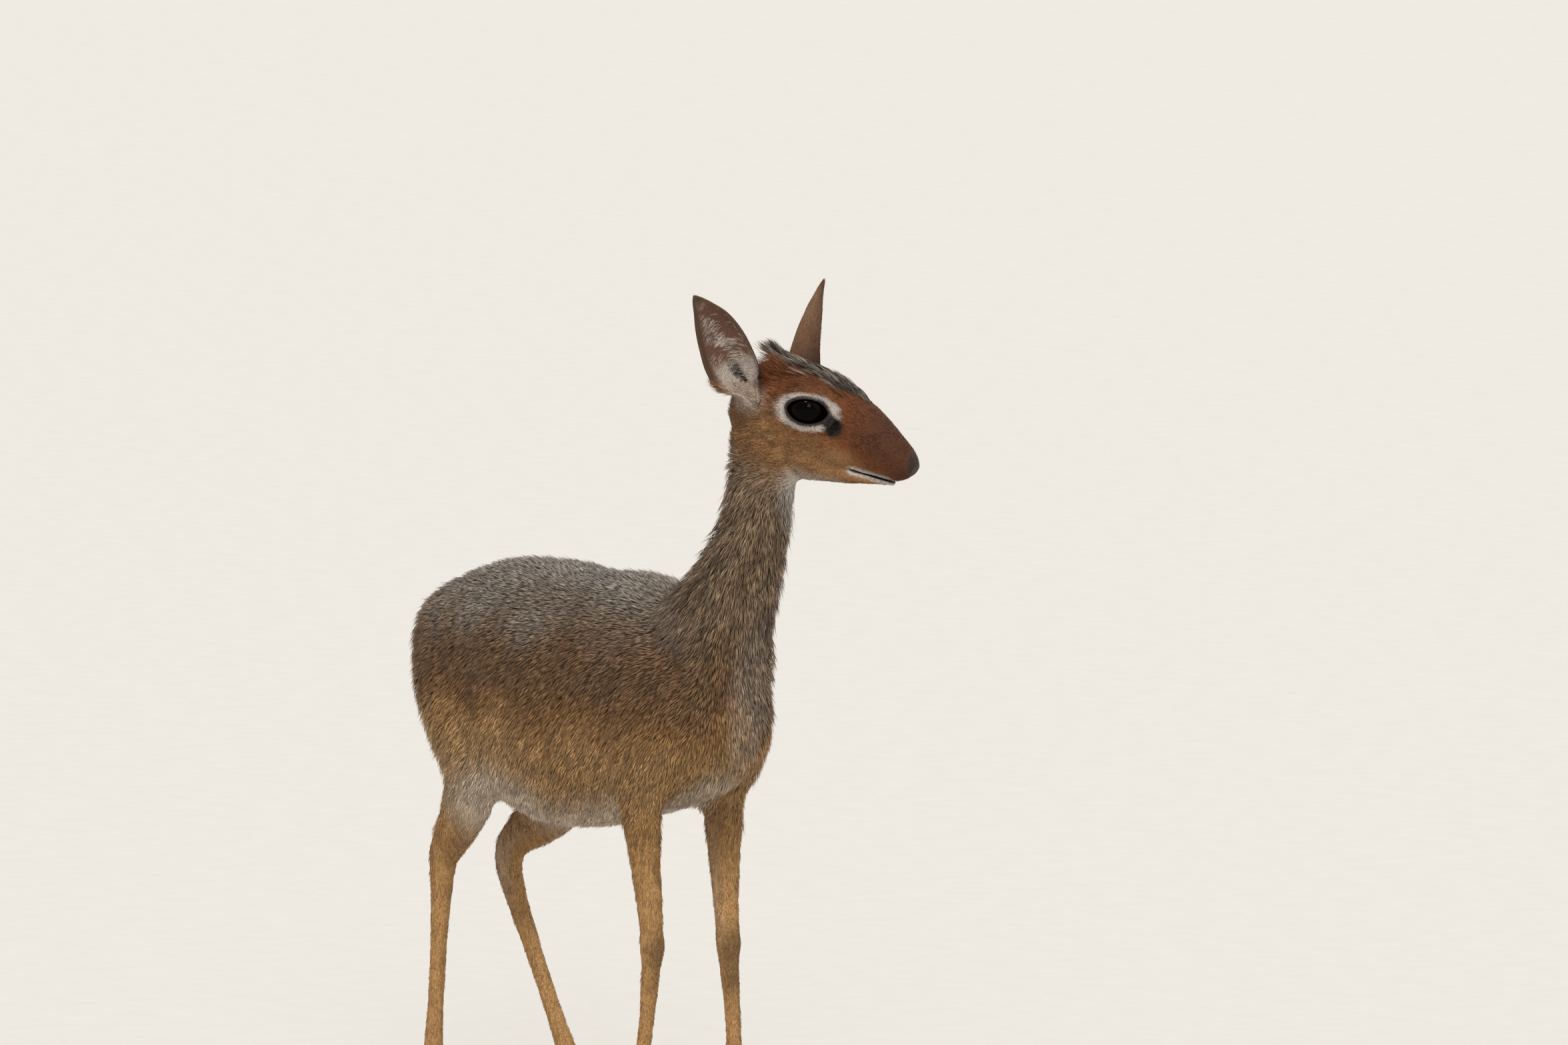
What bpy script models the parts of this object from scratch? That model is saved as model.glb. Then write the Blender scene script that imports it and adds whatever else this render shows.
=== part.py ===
"""A dik-dik, life size, standing with its body turned and its head to the side.

X points the way the body faces, Y to the animal's left and Z up, in metres. The hooves
stand on Z = 0. The flesh is made whole from lofted forms, fused and smoothed, and then
parted with thin cuts into the torso, neck, head, legs and tail.
"""

import math
import random

import bmesh
import bpy
import numpy as np
from mathutils import Matrix, Vector
from mathutils.bvhtree import BVHTree

# Driving sizes
BOX_CENTRE = (0.0462, 0.0146)
SHOULDER_HEIGHT = 0.381
SEAM = 0.0003
BODY_GRAIN = 0.0020
HEAD_GRAIN = 0.0011
BODY_TRIANGLES = 4400
HEAD_TRIANGLES = 3400

# Trunk: place along X, top, bottom and half width of each section
TRUNK = [
    (-0.164, 0.333, 0.310, 0.010),
    (-0.159, 0.346, 0.290, 0.025),
    (-0.142, 0.358, 0.266, 0.035),
    (-0.115, 0.368, 0.243, 0.044),
    (-0.070, 0.380, 0.222, 0.053),
    (-0.020, 0.383, 0.207, 0.059),
    (0.035, 0.380, 0.209, 0.057),
    (0.085, SHOULDER_HEIGHT, 0.219, 0.051),
    (0.125, 0.371, 0.229, 0.045),
    (0.155, 0.352, 0.239, 0.041),
    (0.172, 0.338, 0.249, 0.0375),
    (0.183, 0.326, 0.264, 0.031),
    (0.189, 0.314, 0.280, 0.020),
    (0.1915, 0.304, 0.290, 0.008),
]
TRUNK_SQUARENESS = 2.3

# Neck: centre X, Y, Z, half width and half depth of each section
NECK = [
    (0.112, 0.000, 0.308, 0.034, 0.042),
    (0.147, 0.001, 0.338, 0.037, 0.044),
    (0.173, 0.003, 0.371, 0.031, 0.0335),
    (0.1865, 0.007, 0.402, 0.0255, 0.0270),
    (0.1905, 0.012, 0.428, 0.0225, 0.0250),
    (0.190, 0.017, 0.452, 0.0215, 0.0250),
    (0.189, 0.021, 0.476, 0.0212, 0.0252),
    (0.188, 0.025, 0.496, 0.0188, 0.0215),
]
NECK_TURN = (0.0, 33.0)
# Front of the chest, from the foot of the throat to the breastbone
CHEST = [
    (0.186, 0.006, 0.405, 0.0150, 0.0190),
    (0.179, 0.003, 0.372, 0.0260, 0.0230),
    (0.174, 0.001, 0.340, 0.0330, 0.0215),
    (0.171, 0.000, 0.308, 0.0365, 0.0210),
    (0.163, 0.000, 0.278, 0.0340, 0.0230),
    (0.146, 0.000, 0.252, 0.0240, 0.0200),
]
NECK_BASE_CUT = ((0.142, 0.0, 0.356), (0.62, 0.0, 0.78))
NECK_TOP_CUT = ((0.187, 0.017, 0.453), (0.35, 0.23, 0.90))

# Head: its centre, how far it turns to the left and dips, and its sections along its own
# axis as place, top, bottom and half width
HEAD_CENTRE = Vector((0.183, 0.024, 0.499))
HEAD_TURN = 33.0
HEAD_DIP = 25.0
SKULL = [
    (-0.0200, 0.008, -0.012, 0.010),
    (-0.0155, 0.018, -0.024, 0.0185),
    (-0.0040, 0.0270, -0.034, 0.0235),
    (0.010, 0.0315, -0.040, 0.0258),
    (0.026, 0.0335, -0.0405, 0.0268),
    (0.040, 0.0335, -0.038, 0.0262),
    (0.052, 0.0330, -0.033, 0.0235),
    (0.065, 0.0308, -0.026, 0.0195),
    (0.080, 0.0264, -0.0150, 0.0162),
    (0.092, 0.0216, -0.0122, 0.0140),
    (0.103, 0.0168, -0.0085, 0.0120),
    (0.109, 0.0130, -0.0045, 0.0100),
    (0.1130, 0.0085, 0.0008, 0.0062),
]
JAW = [
    (0.028, -0.020, -0.0410, 0.0190),
    (0.044, -0.018, -0.0375, 0.0175),
    (0.060, -0.0120, -0.0302, 0.0166),
    (0.076, -0.0120, -0.0235, 0.0134),
    (0.089, -0.0120, -0.0174, 0.0106),
    (0.097, -0.0105, -0.0138, 0.0082),
    (0.1015, -0.0098, -0.0120, 0.0042),
]
# Mouth line from its corner to the front: place along the head and height, and how round
# and how far apart the lips are
MOUTH = [
    (0.0765, -0.0128),
    (0.0825, -0.0120),
    (0.0885, -0.0108),
    (0.0945, -0.0097),
    (0.0990, -0.0089),
]
MOUTH_FRONT = -0.0085
LIP_RADIUS = 0.0014
NOSTRIL = (0.1060, 0.0064, 0.0062)

# Eye: centre in the head's own frame, radius, where it looks, and the opening's half angles
EYE_PLACE = Vector((0.0346, 0.0170, 0.0116))
EYE_RADIUS = 0.0142
EYE_LOOK = Vector((0.30, 0.95, 0.06)).normalized()
EYE_TILT = -17.0
OPENING = (0.0136, 0.0082)
LID_RADIUS = 0.0015
GLAND_PLACE = Vector((0.0572, 0.0212, 0.0090))

# Crest: place along the head, how many locks stand side by side, their spread, length,
# half width and lift at the root in degrees
CREST = [
    (0.0720, 2, 0.0030, 0.0150, 0.0028, 22),
    (0.0640, 3, 0.0055, 0.0185, 0.0034, 24),
    (0.0550, 4, 0.0085, 0.0205, 0.0036, 25),
    (0.0460, 4, 0.0095, 0.0215, 0.0038, 25),
    (0.0370, 4, 0.0100, 0.0225, 0.0038, 25),
    (0.0280, 4, 0.0100, 0.0235, 0.0038, 24),
    (0.0190, 4, 0.0095, 0.0245, 0.0036, 28),
    (0.0100, 4, 0.0090, 0.0255, 0.0034, 33),
    (0.0020, 3, 0.0065, 0.0265, 0.0032, 38),
]

# Ears: root in the head's frame, lean as forward, left and up in the frame of the level
# head, half width, where the cup faces, and how far its middle bows back
EARS = {
    "right": ((-0.0030, 0.0185, -0.0010), (-0.0245, -0.038, 0.0695), 0.0152, (0.50, -0.86, 0.0), 0.006),
    "left": ((-0.0015, 0.0230, 0.0000), (0.0165, 0.0385, 0.0730), 0.0162, (0.72, 0.68, 0.0), 0.0),
}

# Rows from root to tip: place along, half width, curl in degrees each way, shift to the side
EAR_SHAPE = [
    (0.00, 0.40, 165, 0.00),
    (0.12, 0.54, 130, 0.02),
    (0.26, 1.02, 94, -0.09),
    (0.41, 1.12, 70, -0.03),
    (0.57, 1.02, 58, 0.08),
    (0.73, 0.80, 50, 0.13),
    (0.86, 0.48, 43, 0.10),
    (0.95, 0.24, 37, 0.04),
    (1.00, 0.06, 34, 0.00),
]
EAR_SIDES = 9

# Legs: centre X, Y, Z, half width and half depth, from the trunk down to the fetlock
LEGS = {
    "foreleg_right": [
        (0.120, -0.026, 0.338, 0.0130, 0.0200),
        (0.128, -0.031, 0.318, 0.0180, 0.0330),
        (0.132, -0.034, 0.295, 0.0190, 0.0390),
        (0.127, -0.035, 0.266, 0.0180, 0.0360),
        (0.120, -0.032, 0.238, 0.0145, 0.0215),
        (0.1205, -0.030, 0.210, 0.0118, 0.0155),
        (0.1225, -0.028, 0.180, 0.0094, 0.0112),
        (0.1250, -0.027, 0.152, 0.0082, 0.0086),
        (0.1262, -0.027, 0.139, 0.0086, 0.0093),
        (0.1245, -0.027, 0.124, 0.0068, 0.0075),
        (0.1195, -0.027, 0.090, 0.0055, 0.0060),
        (0.1125, -0.027, 0.058, 0.0058, 0.0066),
        (0.1100, -0.027, 0.043, 0.0070, 0.0080),
    ],
    "foreleg_left": [
        (0.120, 0.026, 0.338, 0.0130, 0.0200),
        (0.128, 0.031, 0.318, 0.0180, 0.0330),
        (0.132, 0.034, 0.295, 0.0190, 0.0390),
        (0.128, 0.035, 0.266, 0.0180, 0.0340),
        (0.122, 0.032, 0.238, 0.0145, 0.0210),
        (0.126, 0.030, 0.210, 0.0118, 0.0155),
        (0.130, 0.028, 0.180, 0.0094, 0.0112),
        (0.1340, 0.027, 0.152, 0.0082, 0.0086),
        (0.1355, 0.027, 0.139, 0.0086, 0.0093),
        (0.1362, 0.027, 0.124, 0.0068, 0.0075),
        (0.1390, 0.028, 0.090, 0.0055, 0.0060),
        (0.1410, 0.028, 0.058, 0.0058, 0.0066),
        (0.1420, 0.028, 0.043, 0.0070, 0.0080),
    ],
    "hindleg_right": [
        (-0.114, -0.018, 0.340, 0.0160, 0.0300),
        (-0.100, -0.029, 0.312, 0.0210, 0.0440),
        (-0.083, -0.033, 0.282, 0.0200, 0.0460),
        (-0.073, -0.035, 0.254, 0.0185, 0.0385),
        (-0.075, -0.034, 0.228, 0.0152, 0.0285),
        (-0.092, -0.032, 0.204, 0.0125, 0.0195),
        (-0.110, -0.028, 0.188, 0.0096, 0.0160),
        (-0.119, -0.026, 0.176, 0.0088, 0.0136),
        (-0.121, -0.026, 0.156, 0.0075, 0.0096),
        (-0.1215, -0.028, 0.118, 0.0060, 0.0068),
        (-0.1225, -0.030, 0.075, 0.0058, 0.0064),
        (-0.1230, -0.031, 0.057, 0.0066, 0.0074),
        (-0.1220, -0.032, 0.044, 0.0074, 0.0084),
    ],
    "hindleg_left": [
        (-0.114, 0.018, 0.340, 0.0160, 0.0300),
        (-0.098, 0.029, 0.312, 0.0210, 0.0440),
        (-0.078, 0.033, 0.282, 0.0200, 0.0450),
        (-0.063, 0.035, 0.254, 0.0185, 0.0380),
        (-0.063, 0.034, 0.228, 0.0155, 0.0300),
        (-0.0855, 0.031, 0.206, 0.0125, 0.0225),
        (-0.109, 0.027, 0.189, 0.0094, 0.0150),
        (-0.1165, 0.025, 0.176, 0.0086, 0.0130),
        (-0.1120, 0.025, 0.156, 0.0073, 0.0094),
        (-0.0945, 0.028, 0.118, 0.0060, 0.0068),
        (-0.0730, 0.031, 0.075, 0.0058, 0.0064),
        (-0.0635, 0.032, 0.057, 0.0066, 0.0074),
        (-0.0570, 0.033, 0.044, 0.0074, 0.0084),
    ],
}
# How far each foot points out, and how far the hoof stands ahead of the fetlock
FEET = {
    "foreleg_right": (4.0, 0.0150),
    "foreleg_left": (4.0, 0.0150),
    "hindleg_right": (12.0, 0.0150),
    "hindleg_left": (12.0, 0.0160),
}
CORONET = (0.0138, 0.34)
TOE_LENGTH = (0.0108, 0.0168)
TOE_HALF_WIDTH = 0.0042

# Where the legs part from the trunk: arch centre X and Z, half length and height of the
# arch, and the inner face as Y at its top and at its foot with the heights of both
HIP_ARCH = (-0.094, 0.290, 0.076, 0.060, 0.038, 0.009, 0.345, 0.232)
SHOULDER_ARCH = (0.1285, 0.285, 0.0430, 0.052, 0.036, 0.009, 0.335, 0.238)
ELBOW_CUT = 0.232
KNEE_CUT = 0.127
STIFLE_CUT = 0.221
HOCK_CUT = 0.158

# Tail, hanging against the rump
TAIL = [
    (-0.150, 0.0, 0.344, 0.0085, 0.0080),
    (-0.166, 0.0, 0.333, 0.0085, 0.0078),
    (-0.1745, 0.0, 0.314, 0.0080, 0.0068),
    (-0.1765, 0.0, 0.294, 0.0060, 0.0048),
    (-0.1750, 0.0, 0.279, 0.0026, 0.0020),
]


# Meshes and objects
def clear_scene():
    for old in list(bpy.data.objects):
        bpy.data.objects.remove(old)


def add_object(name, mesh):
    made = bpy.data.objects.new(name, mesh)
    bpy.context.scene.collection.objects.link(made)
    return made


def copy_of(obj, name):
    return add_object(name, obj.data.copy())


def mesh_of(points, faces, name="form"):
    mesh = bpy.data.meshes.new(name)
    mesh.from_pydata([tuple(p) for p in points], [], faces)
    mesh.update()
    edit = bmesh.new()
    edit.from_mesh(mesh)
    bmesh.ops.recalc_face_normals(edit, faces=edit.faces)
    edit.to_mesh(mesh)
    edit.free()
    return mesh


def applied(obj):
    """Replaces an object's mesh by the one that its modifiers make."""
    graph = bpy.context.evaluated_depsgraph_get()
    mesh = bpy.data.meshes.new_from_object(obj.evaluated_get(graph))
    obj.modifiers.clear()
    obj.data = mesh
    return obj


# Lofted forms
def smooth_rows(keys, steps):
    """Rows of numbers on a Catmull-Rom curve through the key rows."""
    k = np.array(keys, float)
    k = np.vstack([2 * k[0] - k[1], k, 2 * k[-1] - k[-2]])
    rows = []
    for i in range(1, len(k) - 2):
        for s in range(steps):
            t = s / steps
            rows.append(
                0.5
                * (
                    2 * k[i]
                    + (k[i + 1] - k[i - 1]) * t
                    + (2 * k[i - 1] - 5 * k[i] + 4 * k[i + 1] - k[i + 2]) * t**2
                    + (3 * k[i] - k[i - 1] - 3 * k[i + 1] + k[i + 2]) * t**3
                )
            )
    return rows + [k[-2]]


def oval(angle, squareness):
    """A point of a unit superellipse."""
    c, s = math.cos(angle), math.sin(angle)
    power = 2 / squareness
    return (
        math.copysign(abs(c) ** power, c),
        math.copysign(abs(s) ** power, s),
    )


def skin_rings(rings):
    """A closed mesh over a list of rings of points, each end closed by a fan."""
    count = len(rings[0])
    points = [p for ring in rings for p in ring]
    faces = []
    for r in range(len(rings) - 1):
        for i in range(count):
            j = (i + 1) % count
            a, b = r * count, (r + 1) * count
            faces.append((a + i, a + j, b + j, b + i))
    for ring in (0, len(rings) - 1):
        points.append(sum((Vector(p) for p in rings[ring]), Vector()) / count)
        for i in range(count):
            faces.append((ring * count + (i + 1) % count, ring * count + i, len(points) - 1))
    return mesh_of(points, faces)


def axis_loft(keys, steps, sides, squareness, place, widen=0.0):
    """A loft along an axis: each row is place, top, bottom and half width.

    widen above zero makes the upper half broader and the lower half narrower.
    """
    rings = []
    for along, top, bottom, half in smooth_rows(keys, steps):
        middle, rise = (top + bottom) / 2, (top - bottom) / 2
        ring = []
        for i in range(sides):
            c, s = oval(2 * math.pi * i / sides, squareness)
            ring.append(place((along, half * c * (1 + widen * s), middle + rise * s)))
        rings.append(ring)
    return skin_rings(rings)


def path_rings(rows, sides, turn, squareness=2.0):
    """Rings square to a path: each row is a centre, a half width and a half depth.

    turn gives the direction of the depth, in degrees from X, at both ends.
    """
    rings = []
    for r, row in enumerate(rows):
        before, after = rows[max(r - 1, 0)], rows[min(r + 1, len(rows) - 1)]
        path = (Vector(after[:3]) - Vector(before[:3])).normalized()
        angle = math.radians(turn[0] + (turn[1] - turn[0]) * r / (len(rows) - 1))
        ahead = Vector((math.cos(angle), math.sin(angle), 0))
        depth = (ahead - path * ahead.dot(path)).normalized()
        width = path.cross(depth).normalized()
        centre = Vector(row[:3])
        ring = []
        for i in range(sides):
            c, s = oval(2 * math.pi * i / sides, squareness)
            ring.append(centre + width * (row[3] * c) + depth * (row[4] * s))
        rings.append(ring)
    return rings


def limb(keys, sides, turn, squareness=2.0, steps=4):
    return skin_rings(path_rings(smooth_rows(keys, steps), sides, turn, squareness))


def ball(centre, radii, matrix=Matrix(), segments=24, rings=16):
    edit = bmesh.new()
    bmesh.ops.create_uvsphere(edit, u_segments=segments, v_segments=rings, radius=1)
    shape = Matrix.Translation(centre) @ Matrix.Diagonal((*radii, 1))
    bmesh.ops.transform(edit, matrix=matrix @ shape, verts=edit.verts)
    mesh = bpy.data.meshes.new("ball")
    edit.to_mesh(mesh)
    edit.free()
    return mesh


def together(meshes):
    """One mesh that holds all of these, still overlapping."""
    edit = bmesh.new()
    for mesh in meshes:
        edit.from_mesh(mesh)
    joined = bpy.data.meshes.new("forms")
    edit.to_mesh(joined)
    edit.free()
    return joined


def relaxed(mesh, rounds, soften):
    """Smooths a mesh: soften gives plain rounds that blend forms, as (rounds, weight by place)."""
    count = len(mesh.vertices)
    points = np.empty(count * 3)
    mesh.vertices.foreach_get("co", points)
    points = points.reshape(-1, 3)
    ends = np.empty(len(mesh.edges) * 2, int)
    mesh.edges.foreach_get("vertices", ends)
    ends = ends.reshape(-1, 2)
    first, second = ends[:, 0], ends[:, 1]
    share = np.bincount(ends.ravel(), minlength=count)[:, None]

    def pull(points):
        other = [
            np.bincount(first, points[second, i], count) + np.bincount(second, points[first, i], count)
            for i in range(3)
        ]
        return np.stack(other, axis=1) / share - points

    weight = soften[1](points)[:, None]
    for _ in range(soften[0]):
        points = points + 0.5 * weight * pull(points)
    for step in range(rounds * 2):
        points = points + (0.55 if step % 2 == 0 else -0.57) * pull(points)
    mesh.vertices.foreach_set("co", points.ravel())
    mesh.update()


def fused(name, forms, grain, rounds, soften):
    """One closed skin over overlapping forms, smoothed."""
    obj = add_object(name, together(forms))
    remesh = obj.modifiers.new("fuse", "REMESH")
    remesh.mode = "VOXEL"
    remesh.voxel_size = grain
    applied(obj)
    relaxed(obj.data, rounds, soften)
    return obj


def thinned(obj, triangles):
    thin = obj.modifiers.new("thin", "DECIMATE")
    thin.ratio = triangles / (2 * len(obj.data.polygons))
    return applied(obj)


# Cutting
def tidied(obj, weld=2e-5):
    """Keeps the largest closed surface and takes out slivers."""
    edit = bmesh.new()
    edit.from_mesh(obj.data)
    bmesh.ops.remove_doubles(edit, verts=edit.verts, dist=weld)
    bmesh.ops.triangulate(edit, faces=edit.faces)
    left = set(edit.verts)
    largest = []
    while left:
        stack, island = [left.pop()], []
        while stack:
            vert = stack.pop()
            island.append(vert)
            for edge in vert.link_edges:
                other = edge.other_vert(vert)
                if other in left:
                    left.remove(other)
                    stack.append(other)
        largest = max(largest, island, key=len)
    keep = set(largest)
    bmesh.ops.delete(edit, geom=[v for v in edit.verts if v not in keep], context="VERTS")
    bmesh.ops.dissolve_degenerate(edit, dist=weld, edges=edit.edges)
    bmesh.ops.triangulate(edit, faces=edit.faces)
    bmesh.ops.recalc_face_normals(edit, faces=edit.faces)
    edit.to_mesh(obj.data)
    edit.free()
    return obj


def combined(obj, tool_mesh, operation, solver="MANIFOLD"):
    tool = add_object("tool", tool_mesh)
    step = obj.modifiers.new("cut", "BOOLEAN")
    step.operation = operation
    step.solver = solver
    step.object = tool
    applied(obj)
    bpy.data.objects.remove(tool)
    return tidied(obj)


def kept_side(obj, point, normal):
    """Cuts a closed mesh with a plane, keeps the side the normal points to and closes it."""
    edit = bmesh.new()
    edit.from_mesh(obj.data)
    cut = bmesh.ops.bisect_plane(
        edit,
        geom=edit.verts[:] + edit.edges[:] + edit.faces[:],
        dist=1e-7,
        plane_co=point,
        plane_no=normal,
        clear_inner=True,
    )
    rim = [g for g in cut["geom_cut"] if isinstance(g, bmesh.types.BMEdge)]
    bmesh.ops.holes_fill(edit, edges=rim, sides=0)
    edit.to_mesh(obj.data)
    edit.free()
    return tidied(obj)


def split(obj, name, point, normal):
    """Parts a mesh at a plane: obj keeps the far side and the new piece the side of the normal."""
    normal = Vector(normal).normalized()
    point = Vector(point)
    other = copy_of(obj, name)
    kept_side(other, point + normal * SEAM / 2, normal)
    kept_side(obj, point - normal * SEAM / 2, -normal)
    return other


def swollen(mesh, distance):
    """A copy whose surface stands out by a distance."""
    edit = bmesh.new()
    edit.from_mesh(mesh)
    edit.normal_update()
    shifts = [v.normal * distance for v in edit.verts]
    for vert, shift in zip(edit.verts, shifts):
        vert.co += shift
    grown = bpy.data.meshes.new("grown")
    edit.to_mesh(grown)
    edit.free()
    return grown


# Head
def head_matrix():
    turn = Matrix.Rotation(math.radians(HEAD_TURN), 4, "Z")
    dip = Matrix.Rotation(math.radians(HEAD_DIP), 4, "Y")
    return Matrix.Translation(HEAD_CENTRE) @ turn @ dip


HEAD = head_matrix()
LEVEL_HEAD = Matrix.Translation(HEAD_CENTRE) @ Matrix.Rotation(math.radians(HEAD_TURN), 4, "Z")


def mirrored(v, side):
    return Vector((v[0], v[1] * side, v[2]))


def eye_frame(side):
    """Matrix whose Z is where the eye looks and whose X runs along its opening."""
    look = mirrored(EYE_LOOK, side)
    ahead = Vector((math.cos(math.radians(EYE_TILT)), 0, -math.sin(math.radians(EYE_TILT))))
    along = (ahead - look * ahead.dot(look)).normalized()
    frame = Matrix((along, look.cross(along), look)).transposed().to_4x4()
    return HEAD @ Matrix.Translation(mirrored(EYE_PLACE, side)) @ frame


def almond(angle):
    """Outline of the eye's opening: pointed towards both corners."""
    c, s = math.cos(angle), math.sin(angle)
    return OPENING[0] * c, OPENING[1] * math.copysign(abs(s) ** 1.15, s)


def head_forms():
    forms = [
        axis_loft(SKULL, 4, 32, 2.2, lambda v: HEAD @ Vector(v), widen=0.10),
        axis_loft(JAW, 4, 24, 2.2, lambda v: HEAD @ Vector(v), widen=-0.05),
    ]
    for side in (-1, 1):
        forms.append(ball(mirrored((0.0360, 0.0130, 0.0105), side), (0.0270, 0.0172, 0.0195), HEAD))
        forms.append(ball(mirrored(EYE_PLACE, side), (0.0166, 0.0160, 0.0158), HEAD))
        forms.append(ball(mirrored((0.037, 0.0095, -0.0200), side), (0.0270, 0.0145, 0.0150), HEAD))
    return forms


def lid_ring(side):
    """A soft tube around the opening of the eye, lying on the ball of the eye."""
    frame = eye_frame(side)
    rows = []
    for i in range(33):
        u, v = almond(2 * math.pi * i / 32)
        u, v = u * 1.06, v * 1.10
        lift = math.sqrt(max((EYE_RADIUS + 0.0006) ** 2 - u * u - v * v, 1e-8))
        rows.append(frame @ Vector((u, v, lift)))
    rings = []
    for i in range(32):
        path = (rows[i + 1] - rows[i - 1 if i else 31]).normalized()
        out = (rows[i] - frame.translation).normalized()
        across = path.cross(out).normalized()
        ring = []
        for k in range(8):
            a = 2 * math.pi * k / 8
            ring.append(rows[i] + (out * math.sin(a) + across * math.cos(a)) * LID_RADIUS)
        rings.append(ring)
    points = [p for ring in rings for p in ring]
    faces = []
    for r in range(32):
        for k in range(8):
            a, b = r * 8, ((r + 1) % 32) * 8
            faces.append((a + k, a + (k + 1) % 8, b + (k + 1) % 8, b + k))
    return mesh_of(points, faces)


def opening_tool(side):
    """The prism that opens the lids."""
    frame = eye_frame(side)
    rings = []
    for depth, wide in ((0.0, 0.80), (EYE_RADIUS * 0.35, 0.99), (EYE_RADIUS * 1.12, 1.0), (0.022, 1.12)):
        ring = []
        for i in range(28):
            u, v = almond(2 * math.pi * i / 28)
            ring.append(frame @ Vector((u * wide, v * wide, depth)))
        rings.append(ring)
    return skin_rings(rings)


def mouth_path(head):
    """The mouth line on the head's surface, from the right corner round the front."""
    tree = BVHTree.FromPolygons([v.co.copy() for v in head.vertices], [p.vertices for p in head.polygons])
    turn = HEAD.to_3x3()

    def on_surface(start, way):
        hit = tree.ray_cast(HEAD @ Vector(start), turn @ Vector(way))[0]
        return HEAD.inverted() @ hit

    right = [on_surface((a, -0.05, n), (0, 1, 0)) for a, n in MOUTH]
    front = on_surface((0.15, 0, MOUTH_FRONT), (-1, 0, 0))
    left = [on_surface((a, 0.05, n), (0, -1, 0)) for a, n in MOUTH]
    return [Vector(row) for row in smooth_rows(right + [front] + left[::-1], 4)]


def along_mouth(path, rise, deep, high, sides):
    """A closed form that follows the mouth line: raised by rise, with half sizes in and up."""
    rings = []
    for r, place in enumerate(path):
        way = (path[min(r + 1, len(path) - 1)] - path[max(r - 1, 0)]).normalized()
        up = Vector((0, 0, 1))
        across = way.cross(up).normalized()
        fade = min(1.0, (0.35 + 3 * min(r, len(path) - 1 - r) / len(path)))
        ring = []
        for i in range(sides):
            c, s = oval(2 * math.pi * i / sides, 2.0)
            step = across * (deep * c * fade) + up * (high * s + rise) * fade
            ring.append(HEAD @ (place + step))
        rings.append(ring)
    return skin_rings(rings)


def skull_top(along, side):
    """Height of the bare forehead above the head's axis."""
    rows = smooth_rows(SKULL, 8)
    row = min(rows, key=lambda r: abs(r[0] - along))
    middle, rise = (row[1] + row[2]) / 2, (row[1] - row[2]) / 2
    return middle + rise * max(1 - abs(side / row[3]) ** 2.2, 0.0) ** (1 / 2.2)


def crest_locks():
    """Flat tapered locks that sweep back over the forehead, each a closed form."""
    chance = random.Random(7)
    locks = []
    for along, count, spread, length, half, lift in CREST:
        for i in range(count):
            share = i / (count - 1) * 2 - 1
            side = spread * share + chance.uniform(-0.0006, 0.0006)
            reach = length * chance.uniform(0.90, 1.08) * (1 - 0.12 * share * share)
            rise = math.radians(lift + chance.uniform(-3, 5) - 8 * share * share)
            drift = 0.16 * share + chance.uniform(-0.10, 0.10)
            point = Vector((along, side, skull_top(along, side) - 0.0022))
            rings = []
            for step in range(6):
                t = step / 5
                angle = rise * (1 - 1.55 * t)
                ahead = Vector((-math.cos(angle), drift * math.cos(angle), math.sin(angle))).normalized()
                across = ahead.cross(Vector((0, 0, 1))).normalized()
                tilt = Vector((0, side * 9, 1)).normalized()
                across = (across - tilt * across.dot(tilt)).normalized()
                thick = across.cross(ahead)
                wide = half * (0.75 + 0.9 * t - 1.45 * t * t) + 0.0002
                deep = 0.0013 * (1 - 0.80 * t) + 0.0001
                ring = []
                for k in range(4):
                    c, s = math.cos(math.pi * k / 2), math.sin(math.pi * k / 2)
                    ring.append(HEAD @ (point + across * (wide * c) + thick * (deep * s)))
                rings.append(ring)
                point = point + ahead * (reach / 5)
            locks.append(skin_rings(rings))
    return locks


def with_locks(head):
    """Joins the locks to the head with one union on a collection."""
    group = bpy.data.collections.new("locks")
    tools = [bpy.data.objects.new("lock", mesh) for mesh in crest_locks()]
    for tool in tools:
        group.objects.link(tool)
    step = head.modifiers.new("crest", "BOOLEAN")
    step.operation = "UNION"
    step.operand_type = "COLLECTION"
    step.collection = group
    step.solver = "EXACT"
    applied(head)
    for tool in tools:
        bpy.data.objects.remove(tool)
    bpy.data.collections.remove(group)
    return tidied(head, 1e-6)


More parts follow.
